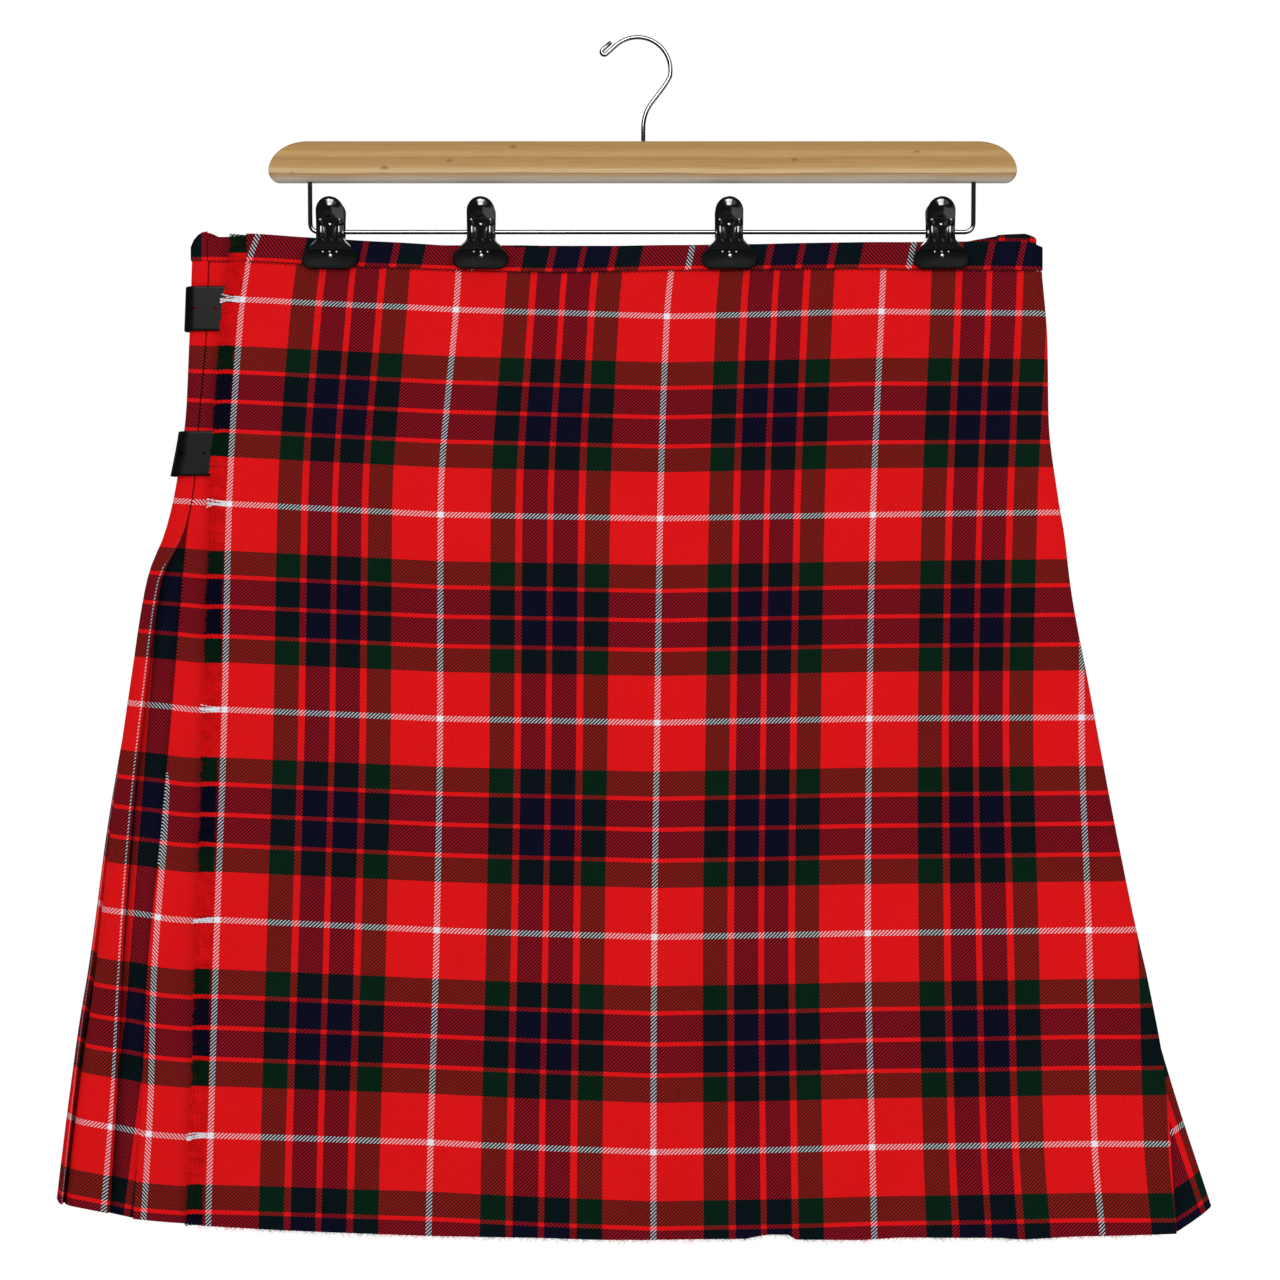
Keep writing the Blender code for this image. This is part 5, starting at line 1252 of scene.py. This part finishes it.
def area_light(name, place, aim, size, watts, **seen):
    """A rectangular softbox. seen turns off how it takes part: visible_glossy, visible_diffuse."""
    data = bpy.data.lights.new(name, "AREA")
    data.shape = "RECTANGLE"
    data.size, data.size_y = size
    data.energy = watts
    made = bpy.data.objects.new(name, data)
    made.location = place
    made.rotation_euler = (Vector(aim) - Vector(place)).to_track_quat("-Z", "Y").to_euler()
    for kind, on in seen.items():
        setattr(made, kind, on)
    bpy.context.scene.collection.objects.link(made)


def studio_air():
    """White seen directly and a soft even light on matt surfaces. Polished ones see a dark room with a bright sweep
    above in front, another low on the right, one behind above, and a dim one below: each is a product of ramps from 0
    to 1 along x, y and z."""
    world = bpy.data.worlds.new("studio_air")
    world.use_nodes = True
    air = Nodes(world.node_tree)
    split = air.node("ShaderNodeSeparateXYZ", i0=air.node("ShaderNodeTexCoord").outputs["Generated"])
    x, y, z = (Value(air, out) for out in split.outputs)

    def glow(way, dark_at, bright_at):
        return air.clamp((way - dark_at) / (bright_at - dark_at))

    above = glow(z, 0.13, 0.26) * glow(z, 0.97, 0.72) * glow(x, -0.62, -0.3) * 0.85
    low_right = glow(z, -0.12, -0.3) * glow(x, 0.2, 0.42) * 0.8
    behind = glow(z, 0.12, 0.3) * glow(z, 0.95, 0.7) * glow(y, 0.35, 0.6) * 0.7
    polished = (above + low_right + glow(z, -0.5, -0.9) * 0.10 + 0.05) * glow(y, 0.1, -0.2) + behind + 0.02
    path = air.node("ShaderNodeLightPath")
    glossy, camera = Value(air, path.outputs["Is Glossy Ray"]), Value(air, path.outputs["Is Camera Ray"])
    matt = polished * glossy + (1.0 - glossy) * AMBIENT
    back = world.node_tree.nodes["Background"]
    air.put(back.inputs[1], camera + (1.0 - camera) * matt)
    back.inputs[0].default_value = (1.0, 1.0, 1.0, 1.0)
    bpy.context.scene.world = world


def lights_and_camera():
    """A key light, two soft fills, one behind for the back, and a card that shows in reflections only. The camera's
    lens makes the frame as wide as CAMERA_WIDE at the front's distance."""
    studio_air()
    middle = (0.0, 0.0, -0.40)
    area_light("key", (-0.35, -2.4, 0.75), middle, (0.55, 0.55), 15)
    area_light("fill_left", (-1.9, -1.7, -0.1), middle, (0.7, 1.6), 3.5, visible_glossy=False)
    area_light("fill_right", (1.9, -1.7, -0.1), middle, (0.7, 1.6), 9, visible_glossy=False)
    area_light("rear", (0.8, 2.2, 0.9), middle, (1.6, 1.6), 12, visible_glossy=False)
    area_light("card", (-0.1, -2.0, 0.74), (0.0, 0.0, -0.1), (1.8, 0.95), 56, visible_diffuse=False)
    data = bpy.data.cameras.new("camera")
    data.sensor_width = SENSOR
    data.lens = SENSOR * (CAMERA_FAR - CAMERA_FOCUS) / CAMERA_WIDE
    camera = bpy.data.objects.new("camera", data)
    camera.location = (CAMERA_X, -CAMERA_FAR, CAMERA_Z)
    camera.rotation_euler = (math.pi / 2, 0, 0)
    bpy.context.scene.collection.objects.link(camera)
    bpy.context.scene.camera = camera
    bpy.context.scene.view_settings.view_transform = "Standard"


# ---------------------------------------------------------------- the object


def stands_for(made, node):
    """The piece takes the CAD node's place."""
    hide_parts(node)


def main():
    """Makes every piece in its CAD node's place and hides the node that it stands for, then the room, lights and
    camera.
    """
    front, side = tartan("tartan_front", 1.0), tartan("tartan_side", -1.0)
    weft, warp = loose_wool("loose_weft"), loose_wool("loose_warp", across=True)
    shadow_line_thread, red_thread, bright, nickel, rivet, black, grip_black = (
        plain_finish(name, **PLAIN_FINISHES[name]) for name in (
            "shadow_line_sewing_thread", "red_sewing_thread", "bright_wire_finish", "buckle_nickel_finish", "rivet_finish",
            "black_chrome_finish", "clip_pad_finish"))
    cloth = {
        "over_apron": over_apron(front), "pleated_back": pleated_back(side), "under_apron": under_apron(side),
        **dict(zip(("waistband_over", "waistband_back", "waistband_under"), waistbands(front, side))),
        "apron_fringe": fringe(weft),
    }
    for node, made in cloth.items():
        stands_for(made, node)
    ends, band_thread, fell_thread = fuzz(warp), waistband_stitches(shadow_line_thread), fell_stitches(red_thread)

    for made, node, slot in strap_pieces(leather_finish(), nickel):
        stands_for(made, node)
    stands_for(hanger_bar(bamboo_finish()), "hanger_bar")
    hook, rod = hanger_wires(bright)
    stands_for(hook, "hanger_hook")
    stands_for(rod, "hanger_rod")
    for number, x in enumerate(CLIP_X, start=1):
        for label, out in (("front", -1), ("rear", 1)):
            stem = f"clip_{number}_{label}"
            stands_for(jaw(f"{stem}_plate", x, out, black), f"{stem}_jaw")
            stands_for(pad(f"{stem}_grip", x, out, grip_black), f"{stem}_pad")
            rivets(f"{stem}_rivets", x, out, rivet)
        stands_for(spring(f"clip_{number}_coil", x, bright), f"clip_{number}_spring")
    room()
    lights_and_camera()


main()
